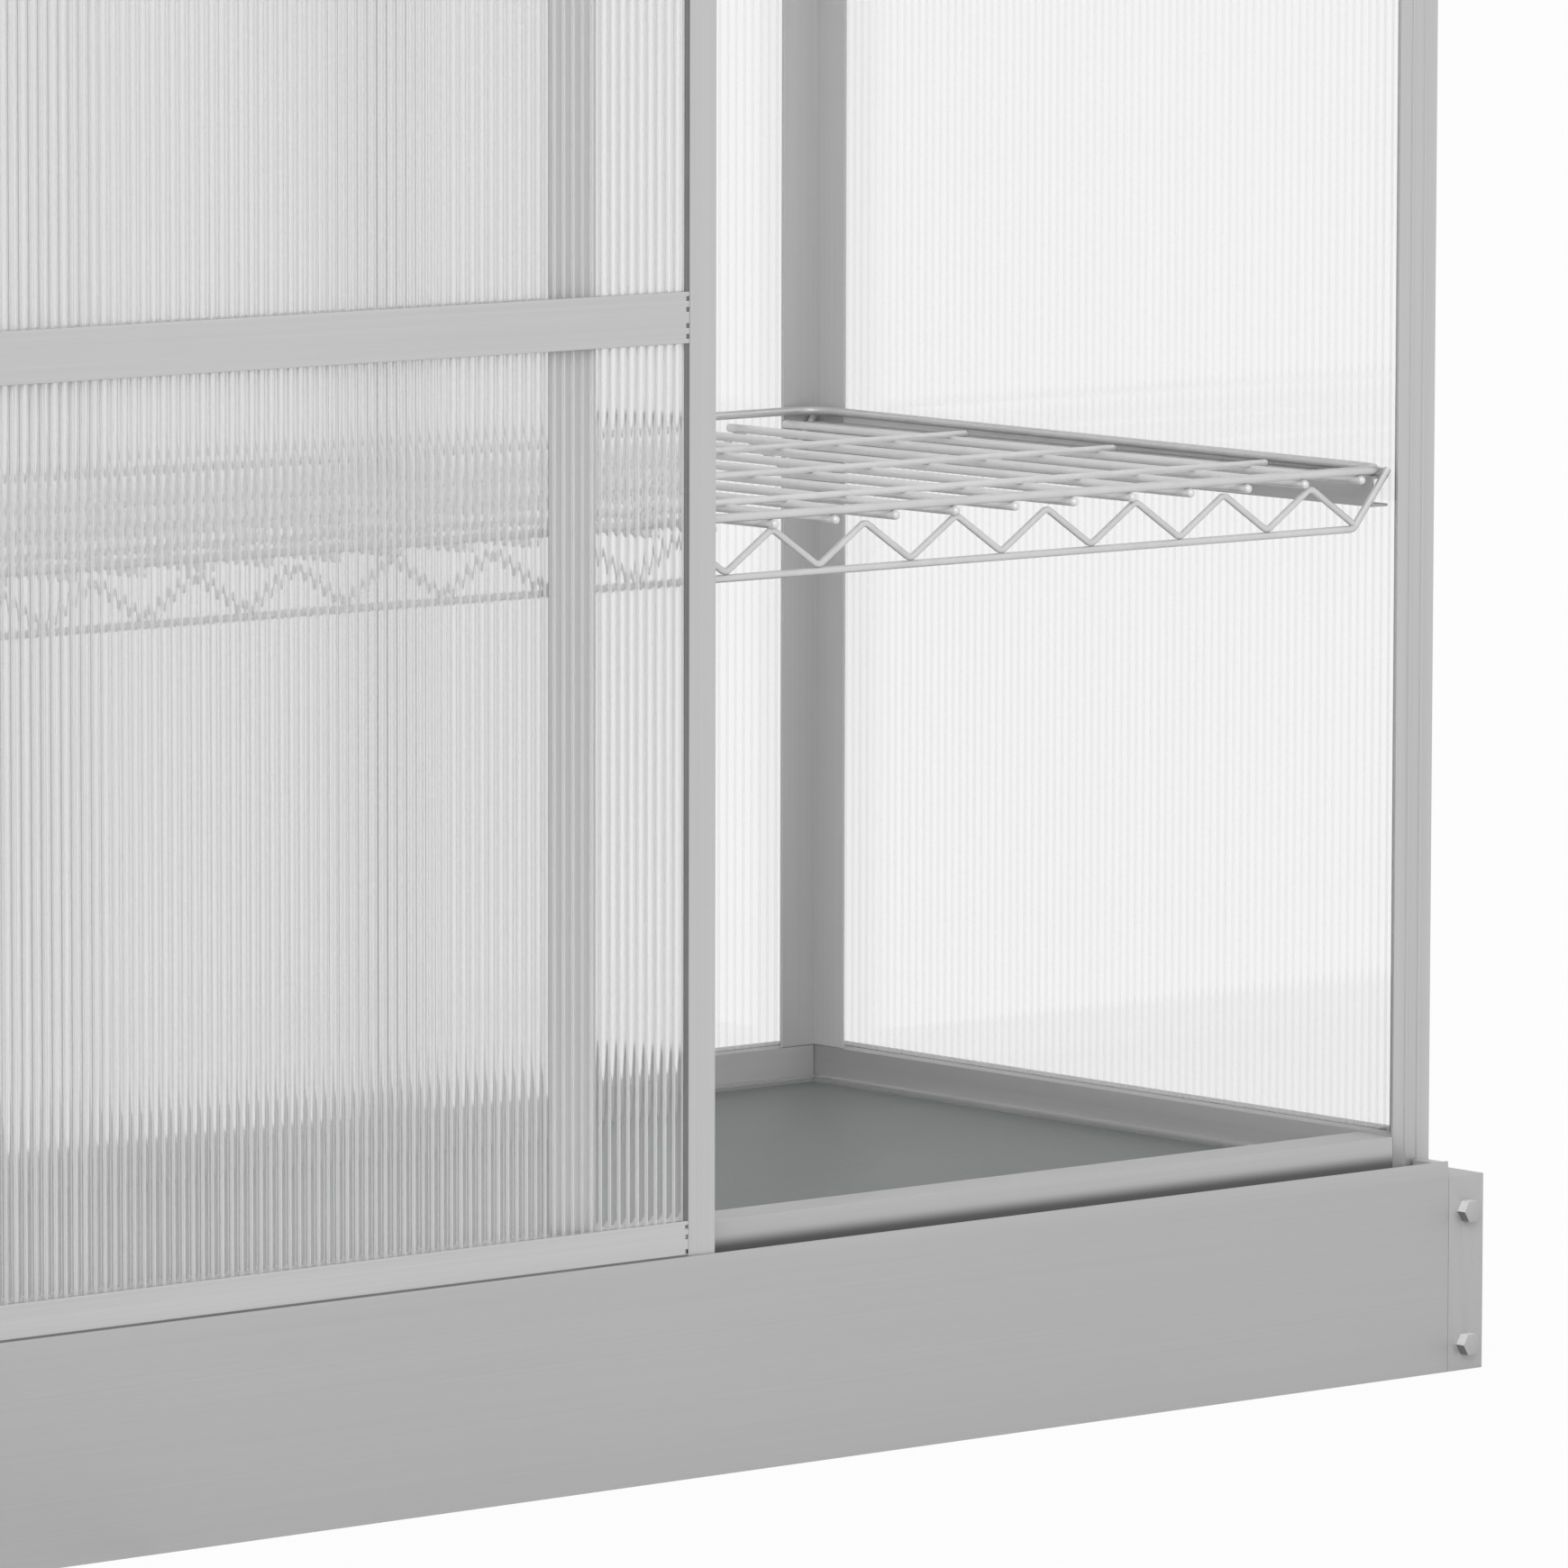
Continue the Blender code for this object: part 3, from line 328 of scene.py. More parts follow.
def treeMesh(tree, sizes, mesh=None):
    holder = newPiece("holder", mesh or bpy.data.meshes.new("holder"))
    modifier = holder.modifiers.new("tree", "NODES")
    modifier.node_group = tree
    for item in tree.interface.items_tree:
        if item.item_type == "SOCKET" and item.in_out == "INPUT" and item.name in sizes:
            modifier[item.identifier] = sizes[item.name]
    return bakedMesh(holder, meshSizes["treeAngle"])


def merged(meshes, name, materials):
    form = bmesh.new()
    for mesh in meshes:
        form.from_mesh(mesh)
    result = formMesh(form, name)
    for material in materials:
        result.materials.append(material)
    return result


def addBox(form, low, high):
    low, high = Vector(low), Vector(high)
    place = Matrix.Translation((low + high) / 2) @ Matrix.Diagonal((*(high - low), 1.0))
    bmesh.ops.create_cube(form, size=1.0, matrix=place)


def middleOf(node):
    low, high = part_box(node)
    return (low + high) / 2


# Twin-wall sheets: a clear plate that swells a little over each web, and the webs inside it

sheetSizes = {"thickness": 0.004, "pitch": 0.00635, "spread": 0.0016, "stepsPerRib": 14, "webWidth": 0.0008,
              "webMargin": 0.0003, "webThin": 0.7, "webThick": 1.3, "seed": 7, "roofSlope": 0.15,
              "notch": 0.0247}


def buildSheetTree():
    number, count = "NodeSocketFloat", "NodeSocketInt"
    tree, given, result = openTree("twinWallSheet", "GeometryNodeTree", {
        "Width": (number, 0.6), "Height": (number, 1.9), "Thickness": (number, 0.004), "Ribs": (count, 90),
        "Steps": (count, 8), "Swell": (number, 0.0001), "Spread": (number, 0.0008),
        "Web Width": (number, 0.0008), "Web Margin": (number, 0.0003), "Web Thin": (number, 0.7),
        "Web Thick": (number, 1.3), "Slope": (number, 0.0), "Notch At": (number, -9.0),
        "Notch Drop": (number, 0.0), "Seed": (count, 1),
        "Sheet Material": ("NodeSocketMaterial", None), "Web Material": ("NodeSocketMaterial", None),
    }, {"Mesh": "NodeSocketGeometry"})
    size = given.outputs
    pitch = mathNode(tree, "DIVIDE", size["Width"], size["Ribs"])
    halfWidth = product(tree, size["Width"], 0.5)
    flatDepth = mathNode(tree, "SUBTRACT", size["Thickness"], product(tree, size["Swell"], 2.0))
    columns = mathNode(tree, "ADD", product(tree, size["Ribs"], size["Steps"]), 1.0)
    plate = addNode(tree, "GeometryNodeMeshCube", {
        "Size": vectorNode(tree, size["Width"], flatDepth, size["Height"]),
        "Vertices X": columns, "Vertices Y": 2, "Vertices Z": 2}).outputs["Mesh"]
    position = tree.nodes.new("GeometryNodeInputPosition").outputs[0]
    spot = addNode(tree, "ShaderNodeSeparateXYZ", {0: position}).outputs
    along = mathNode(tree, "DIVIDE", mathNode(tree, "ADD", spot["X"], halfWidth), pitch)
    away = product(tree, mathNode(tree, "SUBTRACT", mathNode(tree, "FRACT", along), 0.5), pitch)
    ratio = mathNode(tree, "DIVIDE", away, size["Spread"])
    fall = mathNode(tree, "EXPONENT", product(tree, product(tree, ratio, ratio), -1.0))
    bulge = product(tree, product(tree, fall, size["Swell"]), mathNode(tree, "SIGN", spot["Y"]))
    swollen = addNode(tree, "GeometryNodeSetPosition", {
        "Geometry": plate, "Offset": vectorNode(tree, y=bulge)}).outputs[0]
    normal = tree.nodes.new("GeometryNodeInputNormal").outputs[0]
    facing = addNode(tree, "ShaderNodeSeparateXYZ", {0: normal}).outputs
    broad = mathNode(tree, "GREATER_THAN", mathNode(tree, "ABSOLUTE", facing["Y"]), 0.5)
    clear = addNode(tree, "GeometryNodeSetShadeSmooth", {"Geometry": swollen, "Selection": broad}).outputs[0]

    margin = product(tree, size["Web Margin"], 2.0)
    webSize = vectorNode(tree, size["Web Width"], mathNode(tree, "SUBTRACT", flatDepth, margin),
                         mathNode(tree, "SUBTRACT", size["Height"], margin))
    web = addNode(tree, "GeometryNodeMeshCube", {"Size": webSize}).outputs["Mesh"]
    firstWeb = mathNode(tree, "SUBTRACT", product(tree, pitch, 0.5), halfWidth)
    row = addNode(tree, "GeometryNodeMeshLine", {
        "Count": size["Ribs"], "Start Location": vectorNode(tree, firstWeb),
        "Offset": vectorNode(tree, pitch)}, mode="OFFSET").outputs[0]
    chance = addNode(tree, "FunctionNodeRandomValue", {
        2: size["Web Thin"], 3: size["Web Thick"], "Seed": size["Seed"]}, data_type="FLOAT").outputs[1]
    webs = addNode(tree, "GeometryNodeInstanceOnPoints", {
        "Points": row, "Instance": web, "Scale": vectorNode(tree, chance, 1.0, 1.0)}).outputs[0]
    webs = addNode(tree, "GeometryNodeRealizeInstances", {"Geometry": webs}).outputs[0]
    marked = tree.nodes.new("GeometryNodeCaptureAttribute")
    marked.domain = "FACE"
    marked.capture_items.new("BOOLEAN", "Web")
    marked.inputs["Web"].default_value = True
    tree.links.new(webs, marked.inputs["Geometry"])

    both = addNode(tree, "GeometryNodeJoinGeometry", {0: [marked.outputs["Geometry"], clear]}).outputs[0]
    top = mathNode(tree, "GREATER_THAN", spot["Z"], 0.0)
    early = mathNode(tree, "LESS_THAN", spot["X"], size["Notch At"])
    drop = mathNode(tree, "ADD", product(tree, spot["X"], size["Slope"]),
                    product(tree, early, size["Notch Drop"]))
    lift = product(tree, product(tree, drop, top), -1.0)
    cut = addNode(tree, "GeometryNodeSetPosition", {
        "Geometry": both, "Offset": vectorNode(tree, z=lift)}).outputs[0]
    whole = addNode(tree, "GeometryNodeRealizeInstances", {"Geometry": cut}).outputs[0]
    sheet = addNode(tree, "GeometryNodeSetMaterial", {"Geometry": whole, "Material": size["Sheet Material"]})
    done = addNode(tree, "GeometryNodeSetMaterial", {
        "Geometry": sheet.outputs[0], "Selection": marked.outputs["Web"], "Material": size["Web Material"]})
    tree.links.new(done.outputs[0], result.inputs["Mesh"])
    return tree


sheetTree = buildSheetTree()


def sheetPiece(node, kind, width, height, place, ends=None):
    sizes = sheetSizes
    mesh = treeMesh(sheetTree, {
        "Width": width, "Height": height, "Thickness": sizes["thickness"],
        "Ribs": round(width / sizes["pitch"]), "Steps": sizes["stepsPerRib"],
        "Swell": sheetLooks[kind]["swell"], "Spread": sizes["spread"], "Web Width": sizes["webWidth"],
        "Web Margin": sizes["webMargin"], "Web Thin": sizes["webThin"], "Web Thick": sizes["webThick"],
        "Seed": sizes["seed"], "Sheet Material": clearFinish[kind], "Web Material": webFinish[kind],
        **(ends or {})})
    mesh.transform(place)
    standIn(node, "Sheet", mesh)


def uprightSheets():
    for node in ("door_left_panel", "door_right_panel", "back_panel_left", "back_panel_right"):
        low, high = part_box(node)
        kind = "door" if node.startswith("door") else "wall"
        sheetPiece(node, kind, high.x - low.x, high.z - low.z, Matrix.Translation(middleOf(node)))
    quarterTurn = Matrix.Rotation(math.pi / 2, 4, "Z")
    slope, notch = sheetSizes["roofSlope"], sheetSizes["notch"]
    for node in ("side_panel_left", "side_panel_right"):
        low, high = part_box(node)
        span = high.y - low.y
        topAtMiddle = high.z - slope * (span / 2 - notch)
        middle = Vector(((low.x + high.x) / 2, (low.y + high.y) / 2, (low.z + topAtMiddle) / 2))
        drop = topAtMiddle + slope * span / 2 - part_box("header_front")[0].z
        sheetPiece(node, "wall", span, topAtMiddle - low.z, Matrix.Translation(middle) @ quarterTurn,
                   {"Slope": slope, "Notch At": notch - span / 2, "Notch Drop": drop})


def roofSheet():
    low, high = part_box("roof_panel")
    flat = Matrix(((1, 0, 0, 0), (0, 0, 1, 0), (0, -1, 0, 0), (0, 0, 0, 1)))
    lean = Matrix(((1, 0, 0, 0), (0, 1, 0, 0), (0, -sheetSizes["roofSlope"], 1, 0), (0, 0, 0, 1)))
    place = Matrix.Translation(middleOf("roof_panel")) @ lean @ flat
    sheetPiece("roof_panel", "roof", high.x - low.x, high.y - low.y, place)


uprightSheets()
roofSheet()
print("sheets made")


# Bent wire: a tree that rounds a path's bends and gives it a round section

def buildWireTree():
    tree, given, result = openTree("bentWire", "GeometryNodeTree", {
        "Path": ("NodeSocketGeometry", None), "Radius": ("NodeSocketFloat", 0.002),
        "Bend": ("NodeSocketFloat", 0.006), "Bend Steps": ("NodeSocketInt", 5),
        "Sides": ("NodeSocketInt", 12), "Material": ("NodeSocketMaterial", None),
    }, {"Mesh": "NodeSocketGeometry"})
    size = given.outputs
    path = addNode(tree, "GeometryNodeMeshToCurve", {"Mesh": size["Path"]}).outputs[0]
    soft = addNode(tree, "GeometryNodeFilletCurve", {
        "Curve": path, "Count": size["Bend Steps"], "Radius": size["Bend"], "Limit Radius": True},
        mode="POLY").outputs[0]
    ring = addNode(tree, "GeometryNodeCurvePrimitiveCircle", {
        "Resolution": size["Sides"], "Radius": size["Radius"]}, mode="RADIUS").outputs[0]
    tube = addNode(tree, "GeometryNodeCurveToMesh", {
        "Curve": soft, "Profile Curve": ring, "Fill Caps": True}).outputs[0]
    smooth = addNode(tree, "GeometryNodeSetShadeSmooth", {"Geometry": tube}).outputs[0]
    closeTree(tree, smooth, size, result)
    return tree


def closeTree(tree, geometry, size, result):
    whole = addNode(tree, "GeometryNodeRealizeInstances", {"Geometry": geometry}).outputs[0]
    painted = addNode(tree, "GeometryNodeSetMaterial", {"Geometry": whole, "Material": size["Material"]})
    tree.links.new(painted.outputs[0], result.inputs["Mesh"])


wireTree = buildWireTree()


def wireMesh(points, radius, bend, closed=False, sides=12, steps=5):
    path = bpy.data.meshes.new("path")
    edges = [(index, index + 1) for index in range(len(points) - 1)]
    if closed:
        edges.append((len(points) - 1, 0))
    path.from_pydata([tuple(point) for point in points], edges, [])
    return treeMesh(wireTree, {"Radius": radius, "Bend": bend, "Bend Steps": steps, "Sides": sides}, path)


# Rows of one small part, for the deck wires, cross wires, bolts and screws

def buildRowTree():
    tree, given, result = openTree("pinRow", "GeometryNodeTree", {
        "Pin": ("NodeSocketGeometry", None), "Count": ("NodeSocketInt", 28),
        "First": ("NodeSocketVector", None), "Step": ("NodeSocketVector", None),
        "Material": ("NodeSocketMaterial", None),
    }, {"Mesh": "NodeSocketGeometry"})
    size = given.outputs
    row = addNode(tree, "GeometryNodeMeshLine", {
        "Count": size["Count"], "Start Location": size["First"], "Offset": size["Step"]},
        mode="OFFSET").outputs[0]
    pins = addNode(tree, "GeometryNodeInstanceOnPoints", {"Points": row, "Instance": size["Pin"]}).outputs[0]
    closeTree(tree, pins, size, result)
    return tree


rowTree = buildRowTree()


def rowMesh(count, first, step, pin):
    return treeMesh(rowTree, {"Count": count, "First": first, "Step": step}, pin)


def turnedMesh(name, profile, way, sides, smooth=True):
    form = bmesh.new()  # profile holds (reach, along) pairs that start and end on the axis
    line = [form.verts.new((reach, 0, along)) for reach, along in profile]
    edges = [form.edges.new(pair) for pair in zip(line, line[1:])]
    bmesh.ops.spin(form, geom=line + edges, cent=(0, 0, 0), axis=(0, 0, 1), angle=2 * math.pi, steps=sides)
    bmesh.ops.remove_doubles(form, verts=form.verts, dist=meshSizes["joinDistance"])
    bmesh.ops.recalc_face_normals(form, faces=form.faces)
    form.transform(Vector((0, 0, 1)).rotation_difference(Vector(way)).to_matrix().to_4x4())
    for face in form.faces:
        face.smooth = smooth
    mesh = formMesh(form, name)
    if smooth:
        mesh.set_sharp_from_angle(angle=meshSizes["turnedAngle"])
    return mesh


def pinMesh(way, radius, length):
    turns = [math.radians(angle) for angle in (0, 30, 60, 90)]
    end = [(radius * math.sin(turn), length / 2 - radius + radius * math.cos(turn)) for turn in turns]
    profile = end + [(reach, -along) for reach, along in reversed(end)]
    return turnedMesh("pin", profile, way, meshSizes["pinSides"])


# Shelves: frame ring, deck wires, cross wires over them, and a truss with a rounded zigzag front and back

shelfSizes = {"frameInset": 0.00275, "frameRadius": 0.0025, "frameLift": 0.0007, "frameRise": 0.0025,
              "frameBend": 0.018, "frameSteps": 8, "frameSides": 14,
              "deckCount": 28, "deckEnd": 0.5827, "deckRadius": 0.0025, "deckPast": 0.0048,
              "deckDrop": 0.0068, "crossAt": (-0.1745, -0.0465, 0.0815), "crossDrop": 0.0036,
              "crossEnd": 0.595, "crossRadius": 0.002,
              "chordDrop": 0.0341, "chordRadius": 0.0021, "chordBend": 0.006,
              "zigzagRadius": 0.0019, "zigzagTop": 0.0094, "zigzagLow": 0.0312, "zigzagBend": 0.0045,
              "zigzagSteps": 4, "zigzagSides": 10, "firstBend": 0.57875, "halfPeriod": 0.03287,
              "bendCount": 36}


def shelfPiece(node):
    sizes = shelfSizes
    low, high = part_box(node)
    top, side, back = high.z, high.x - sizes["frameInset"], high.y - sizes["frameInset"]
    front = low.y + sizes["deckPast"]
    level = top - sizes["frameRadius"] + sizes["frameLift"]
    rear = level + sizes["frameRise"]
    ring = [(side, front, level), (side, back, rear), (-side, back, rear), (-side, front, level)]
    meshes = [wireMesh(ring, sizes["frameRadius"], sizes["frameBend"], closed=True,
                       steps=sizes["frameSteps"], sides=sizes["frameSides"])]
    end = sizes["deckEnd"]
    meshes.append(rowMesh(sizes["deckCount"], (-end, (low.y + high.y) / 2, top - sizes["deckDrop"]),
                          (2 * end / (sizes["deckCount"] - 1), 0.0, 0.0),
                          pinMesh((0, 1, 0), sizes["deckRadius"], high.y - low.y)))
    for place in sizes["crossAt"]:
        meshes.append(rowMesh(1, (0.0, place, top - sizes["crossDrop"]), (0.0, 0.0, 0.0),
                              pinMesh((1, 0, 0), sizes["crossRadius"], 2 * sizes["crossEnd"])))
    deckMeshes = meshes[1:]
    chord = top - sizes["chordDrop"]
    start = sizes["firstBend"]
    for depth in (front, back):
        path = [(side, depth, level), (start, depth, chord), (-start, depth, chord), (-side, depth, level)]
        meshes.append(wireMesh(path, sizes["chordRadius"], sizes["chordBend"]))
        bends = []
        for index in range(sizes["bendCount"]):
            drop = sizes["zigzagTop"] if index % 2 else sizes["zigzagLow"]
            bends.append((start - sizes["halfPeriod"] * index, depth, top - drop))
        meshes.append(wireMesh(bends, sizes["zigzagRadius"], sizes["zigzagBend"],
                               steps=sizes["zigzagSteps"], sides=sizes["zigzagSides"]))
    # the deck wires take the lighter, painted-light copy of the wire finish
    mesh = merged(meshes, node, [finish("shelfWire"), finish("paintedLightDeckWire")])
    deckFrom = len(meshes[0].polygons)
    deckTo = deckFrom + sum(len(part.polygons) for part in deckMeshes)
    for facet in mesh.polygons[deckFrom:deckTo]:
        facet.material_index = 1
    standIn(node, "Wires", mesh)


for shelfNode in ("shelf_lower", "shelf_middle", "shelf_upper"):
    shelfPiece(shelfNode)
print("shelves made")


# Metal members: merged copies of the solids with their edges eased

easedSizes = {"edge": 0.00025, "steelEdge": 0.0004, "segments": 2, "angle": math.radians(35),
              "flatAngle": 0.005}
lipSizes = {"sideOut": 0.6230, "sideEnd": 0.2375, "backOut": 0.2460, "backEnd": 0.6040,
            "frontLip": (0.6170, 0.6195), "frontInner": -0.2578, "frontOuter": 0.6235,
            "frontFrom": -0.2460, "frontStep": 0.0088, "rearEdge": 0.0002, "rearDepth": 0.0016,
            "rearStep": 0.0070, "headTop": 0.2882}


def mergedCopy(node):
    form = bmesh.new()
    form.from_mesh(frame["nodes"][node].data)
    bmesh.ops.remove_doubles(form, verts=form.verts, dist=meshSizes["joinDistance"])
    bmesh.ops.dissolve_limit(form, angle_limit=easedSizes["flatAngle"], verts=form.verts, edges=form.edges)
    return formMesh(form, node + "Copy")


def easedMesh(mesh, width, cutter=None):
    holder = newPiece("holder", mesh)
    if cutter:
        tool = newPiece("tool", cutter)
        cutting = holder.modifiers.new("slots", "BOOLEAN")
        cutting.operation = "DIFFERENCE"
        cutting.solver = "EXACT"
        cutting.object = tool
    bevel = holder.modifiers.new("ease", "BEVEL")
    bevel.width = width
    bevel.segments = easedSizes["segments"]
    bevel.limit_method = "ANGLE"
    bevel.angle_limit = easedSizes["angle"]
    bevel.harden_normals = True
    for face in mesh.polygons:
        face.use_smooth = True
    result = bakedMesh(holder)
    if cutter:
        bpy.data.objects.remove(tool)
    return result


def trimFront(mesh):
    for vert in mesh.vertices:  # the lips that hold the side sheet stay behind the front flange
        place = abs(vert.co.x)
        if lipSizes["frontLip"][0] < place < lipSizes["frontLip"][1]:
            vert.co.y = min(vert.co.y, lipSizes["frontInner"])
        elif place > lipSizes["frontOuter"] and vert.co.y > lipSizes["frontFrom"]:
            vert.co.y -= lipSizes["frontStep"]


def shrinkHeads(mesh):
    for vert in mesh.vertices:  # the solid's own bolt heads shrink inside the shaped ones
        if abs(vert.co.y) > lipSizes["headTop"]:
            vert.co.y = math.copysign(lipSizes["headTop"], vert.co.y)


def trimRear(mesh, low, high):
    for vert in mesh.vertices:  # the stile's lip behind the sheet is shorter than the one before it
        if vert.co.x < low.x + lipSizes["rearEdge"] and vert.co.y > high.y - lipSizes["rearDepth"]:
            vert.co.x = low.x + lipSizes["rearStep"]


def trimLips(mesh):
    for vert in mesh.vertices:  # the groove's outer lips end at the sheet's own edge
        outside = abs(vert.co.x) > lipSizes["sideOut"] and vert.co.y < lipSizes["sideEnd"]
        behind = vert.co.y > lipSizes["backOut"] and abs(vert.co.x) < lipSizes["backEnd"]
        if outside:
            vert.co.y = lipSizes["sideEnd"]
        if behind:
            vert.co.x = math.copysign(lipSizes["backEnd"], vert.co.x)


def easedPiece(node, material, width=easedSizes["edge"], cutter=None):
    mesh = mergedCopy(node)
    if node.startswith("post_back"):
        trimLips(mesh)
    elif node.startswith("post_front"):
        trimFront(mesh)
    elif node.startswith("corner_bracket"):
        shrinkHeads(mesh)
    elif node in ("door_left_stile_meeting", "door_right_stile_outer"):
        trimRear(mesh, *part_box(node))
    mesh = easedMesh(mesh, width, cutter)
    mesh.materials.clear()
    mesh.materials.append(material)
    standIn(node, "Eased", mesh)


memberRuns = {
    "upright": ("post_front_left", "post_front_right", "post_back_left", "post_back_right", "back_bar"),
    "across": ("sill_front", "sill_back", "header_front", "header_back"),
    "deep": ("sill_left", "sill_right", "top_rail_left", "top_rail_right", "roof_bar",
             "shelf_rail_lower_left", "shelf_rail_lower_right", "shelf_rail_middle_left",
             "shelf_rail_middle_right", "shelf_rail_upper_left", "shelf_rail_upper_right"),
}
plinthRuns = {"plinth_front": "across", "plinth_back": "across", "plinth_left": "deep",
              "plinth_right": "deep"}
# painted shade: members inside the cabinet and the sills take darker copies of the aluminium, and the
# threshold's foot is painted darker
ownTones = {"post_back": "postAluminium", "sill": "sillShadedAluminium", "sill_front": "trackAluminium"}
insideMembers = ("post_back", "back_bar", "sill_left", "sill_right", "sill_back", "shelf_rail", "roof_bar")
for run, members in memberRuns.items():
    for member in members:
        tone = "shadedAluminium" if member.startswith(insideMembers) else "aluminium"
        for start, other in ownTones.items():
            tone = other if member.startswith(start) else tone
        easedPiece(member, finish(tone, run))
for member, run in plinthRuns.items():
    easedPiece(member, finish("plinthSteel", run), easedSizes["steelEdge"])
easedPiece("floor_panel", finish("floorSheet"))


# Thin strips: skirting over the floor's edge, lips of the shelf rails, and caps in the side sills' ends

skirtSizes = {"width": 0.0016, "rise": 0.0019, "sunk": 0.0004, "gap": 0.00005, "front": 0.002,
              "ease": 0.0002}
railLipSizes = {"inside": 0.6079, "outside": 0.6095, "front": -0.2590, "back": 0.2058, "rise": 0.0042,
                "sunk": 0.0006, "ease": 0.0002}
capSizes = {"openings": ((0.6101, 0.6348, 0.1115, 0.1234), (0.6194, 0.6238, 0.1251, 0.1348)),
            "depth": 0.0014, "inset": 0.0004, "ease": 0.0001}


def boxesMesh(name, boxes):
    form = bmesh.new()
    for low, high in boxes:
        addBox(form, low, high)
    return formMesh(form, name)


def boxesPiece(name, boxes, material, body, slot, ease):
    mesh = easedMesh(boxesMesh(name, boxes), ease)
    mesh.materials.append(material)
    settle(name, mesh, body, slot)


def skirtPiece():
    sizes = skirtSizes
    low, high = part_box("floor_panel")
    gap, width = sizes["gap"], sizes["width"]
    side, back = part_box("sill_right")[0].x - gap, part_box("sill_back")[0].y - gap
    front, bottom, top = low.y + sizes["front"], high.z - sizes["sunk"], high.z + sizes["rise"]
    boxes = [((-side, front, bottom), (-side + width, back, top)),
             ((side - width, front, bottom), (side, back, top)),
             ((-side + width, back - width, bottom), (side - width, back, top))]
    boxesPiece("floorSkirt", boxes, finish("skirting"), "cabinet", "floor_sheet", sizes["ease"])


def railLips():
    sizes = railLipSizes
    boxes = []
    for level in ("lower", "middle", "upper"):
        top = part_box(f"shelf_rail_{level}_right")[1].z
        for side in (-1, 1):
            across = sorted((side * sizes["inside"], side * sizes["outside"]))
            boxes.append(((across[0], sizes["front"], top - sizes["sunk"]),
                          (across[1], sizes["back"], top + sizes["rise"])))
    boxesPiece("shelfRailLips", boxes, finish("brightZinc", "deep"), "cabinet", "aluminium", sizes["ease"])


def sillCaps():
    sizes = capSizes
    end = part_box("sill_right")[1].y
    boxes = []
    for inner, outer, bottom, top in sizes["openings"]:
        for side in (-1, 1):
            across = sorted((side * inner, side * outer))
            boxes.append(((across[0], end - sizes["depth"], bottom), (across[1], end - sizes["inset"], top)))
    # the caps take the sills' painted-shade tone
    material = finish("sillShadedAluminium", "across")
    boxesPiece("sillEndCaps", boxes, material, "cabinet", "aluminium", sizes["ease"])


skirtPiece()
railLips()
sillCaps()
print("frame members made")


# Plinth corners: the tapped angles and their hexagon bolts

boltSizes = {"across": 0.0066, "height": 0.0064, "chamfer": 0.0004, "chamferIn": 1.6, "sides": 6,
             "heights": (0.015, 0.091), "inset": 0.0133, "flatFrom": 0.5, "underFrom": -0.3}


def boltMesh():
    sizes = boltSizes
    across, chamfer = sizes["across"], sizes["chamfer"]
    straight = sizes["height"] - chamfer
    form = bmesh.new()
    bmesh.ops.create_cone(form, cap_ends=True, segments=sizes["sides"], radius1=across, radius2=across,
                          depth=straight, matrix=Matrix.Translation((0, 0, straight / 2)))
    bmesh.ops.create_cone(form, cap_ends=True, segments=sizes["sides"], radius1=across,
                          radius2=across - sizes["chamferIn"] * chamfer, depth=chamfer,
                          matrix=Matrix.Translation((0, 0, straight + chamfer / 2)))
    form.transform(Matrix.Rotation(math.pi / sizes["sides"], 4, "Z"))
    return formMesh(form, "bolt")


def plinthBolts():
    sizes = boltSizes
    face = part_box("plinth_left")[0].y
    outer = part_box("plinth_right")[1].x - sizes["inset"]
    low, high = sizes["heights"]
    meshes = []
    for end in (-1, 1):
        turn = Matrix.Rotation(-end * math.pi / 2, 4, "X")
        for side in (-1, 1):
            bolt = boltMesh()
            bolt.transform(Matrix.Translation((0, end * -face, 0)) @ turn)
            meshes.append(rowMesh(2, (side * outer, 0.0, low), (0.0, 0.0, high - low), bolt))
    mesh = merged(meshes, "plinthBolts", [finish("brightZinc"), finish("gasket"), finish("plinthSteel")])
    for facet in mesh.polygons:  # painted light: the flat face takes the plinth's tone, the flanks a bright painted highlight, and the downward flanks painted shade
        flat = abs(facet.normal.y) > sizes["flatFrom"]
        facet.material_index = 2 if flat else int(facet.normal.z < sizes["underFrom"])
    settle("plinthBolts", mesh, "cabinet", "zinc_wire")


for corner in ("front_left", "front_right", "back_left", "back_right"):
    easedPiece("corner_bracket_" + corner, finish("boltZinc"))
plinthBolts()
print("plinth corners made")


# Doors: stiles, rails with slotted ends, the dark gasket beside each stile and the brush below, which also
# carry painted shade in the gaps, and screws

doorSizes = {"slotWidth": 0.0021, "slotHeight": 0.0024, "slotDepth": 0.0014, "slotFront": 0.001,
             "slotRise": 0.0274, "slotPlaces": (0.134, 0.343, 0.657, 0.866), "outerGasket": 0.0028,
             "meetingGasket": 0.0008, "gasketDepth": 0.0029, "gasketInset": 0.001, "gasketEase": 0.0003,
             "sheetHalf": 0.0020, "brushFrom": 0.1182, "brushTo": 0.1211, "brushDepth": 0.0004,
             "brushBehind": 0.0002, "brushInset": 0.0005, "brushEase": 0.0001, "pullEase": 0.0003}
screwSizes = {"radius": 0.0024, "flatten": 0.45, "columns": 18, "rings": 12, "count": 3}


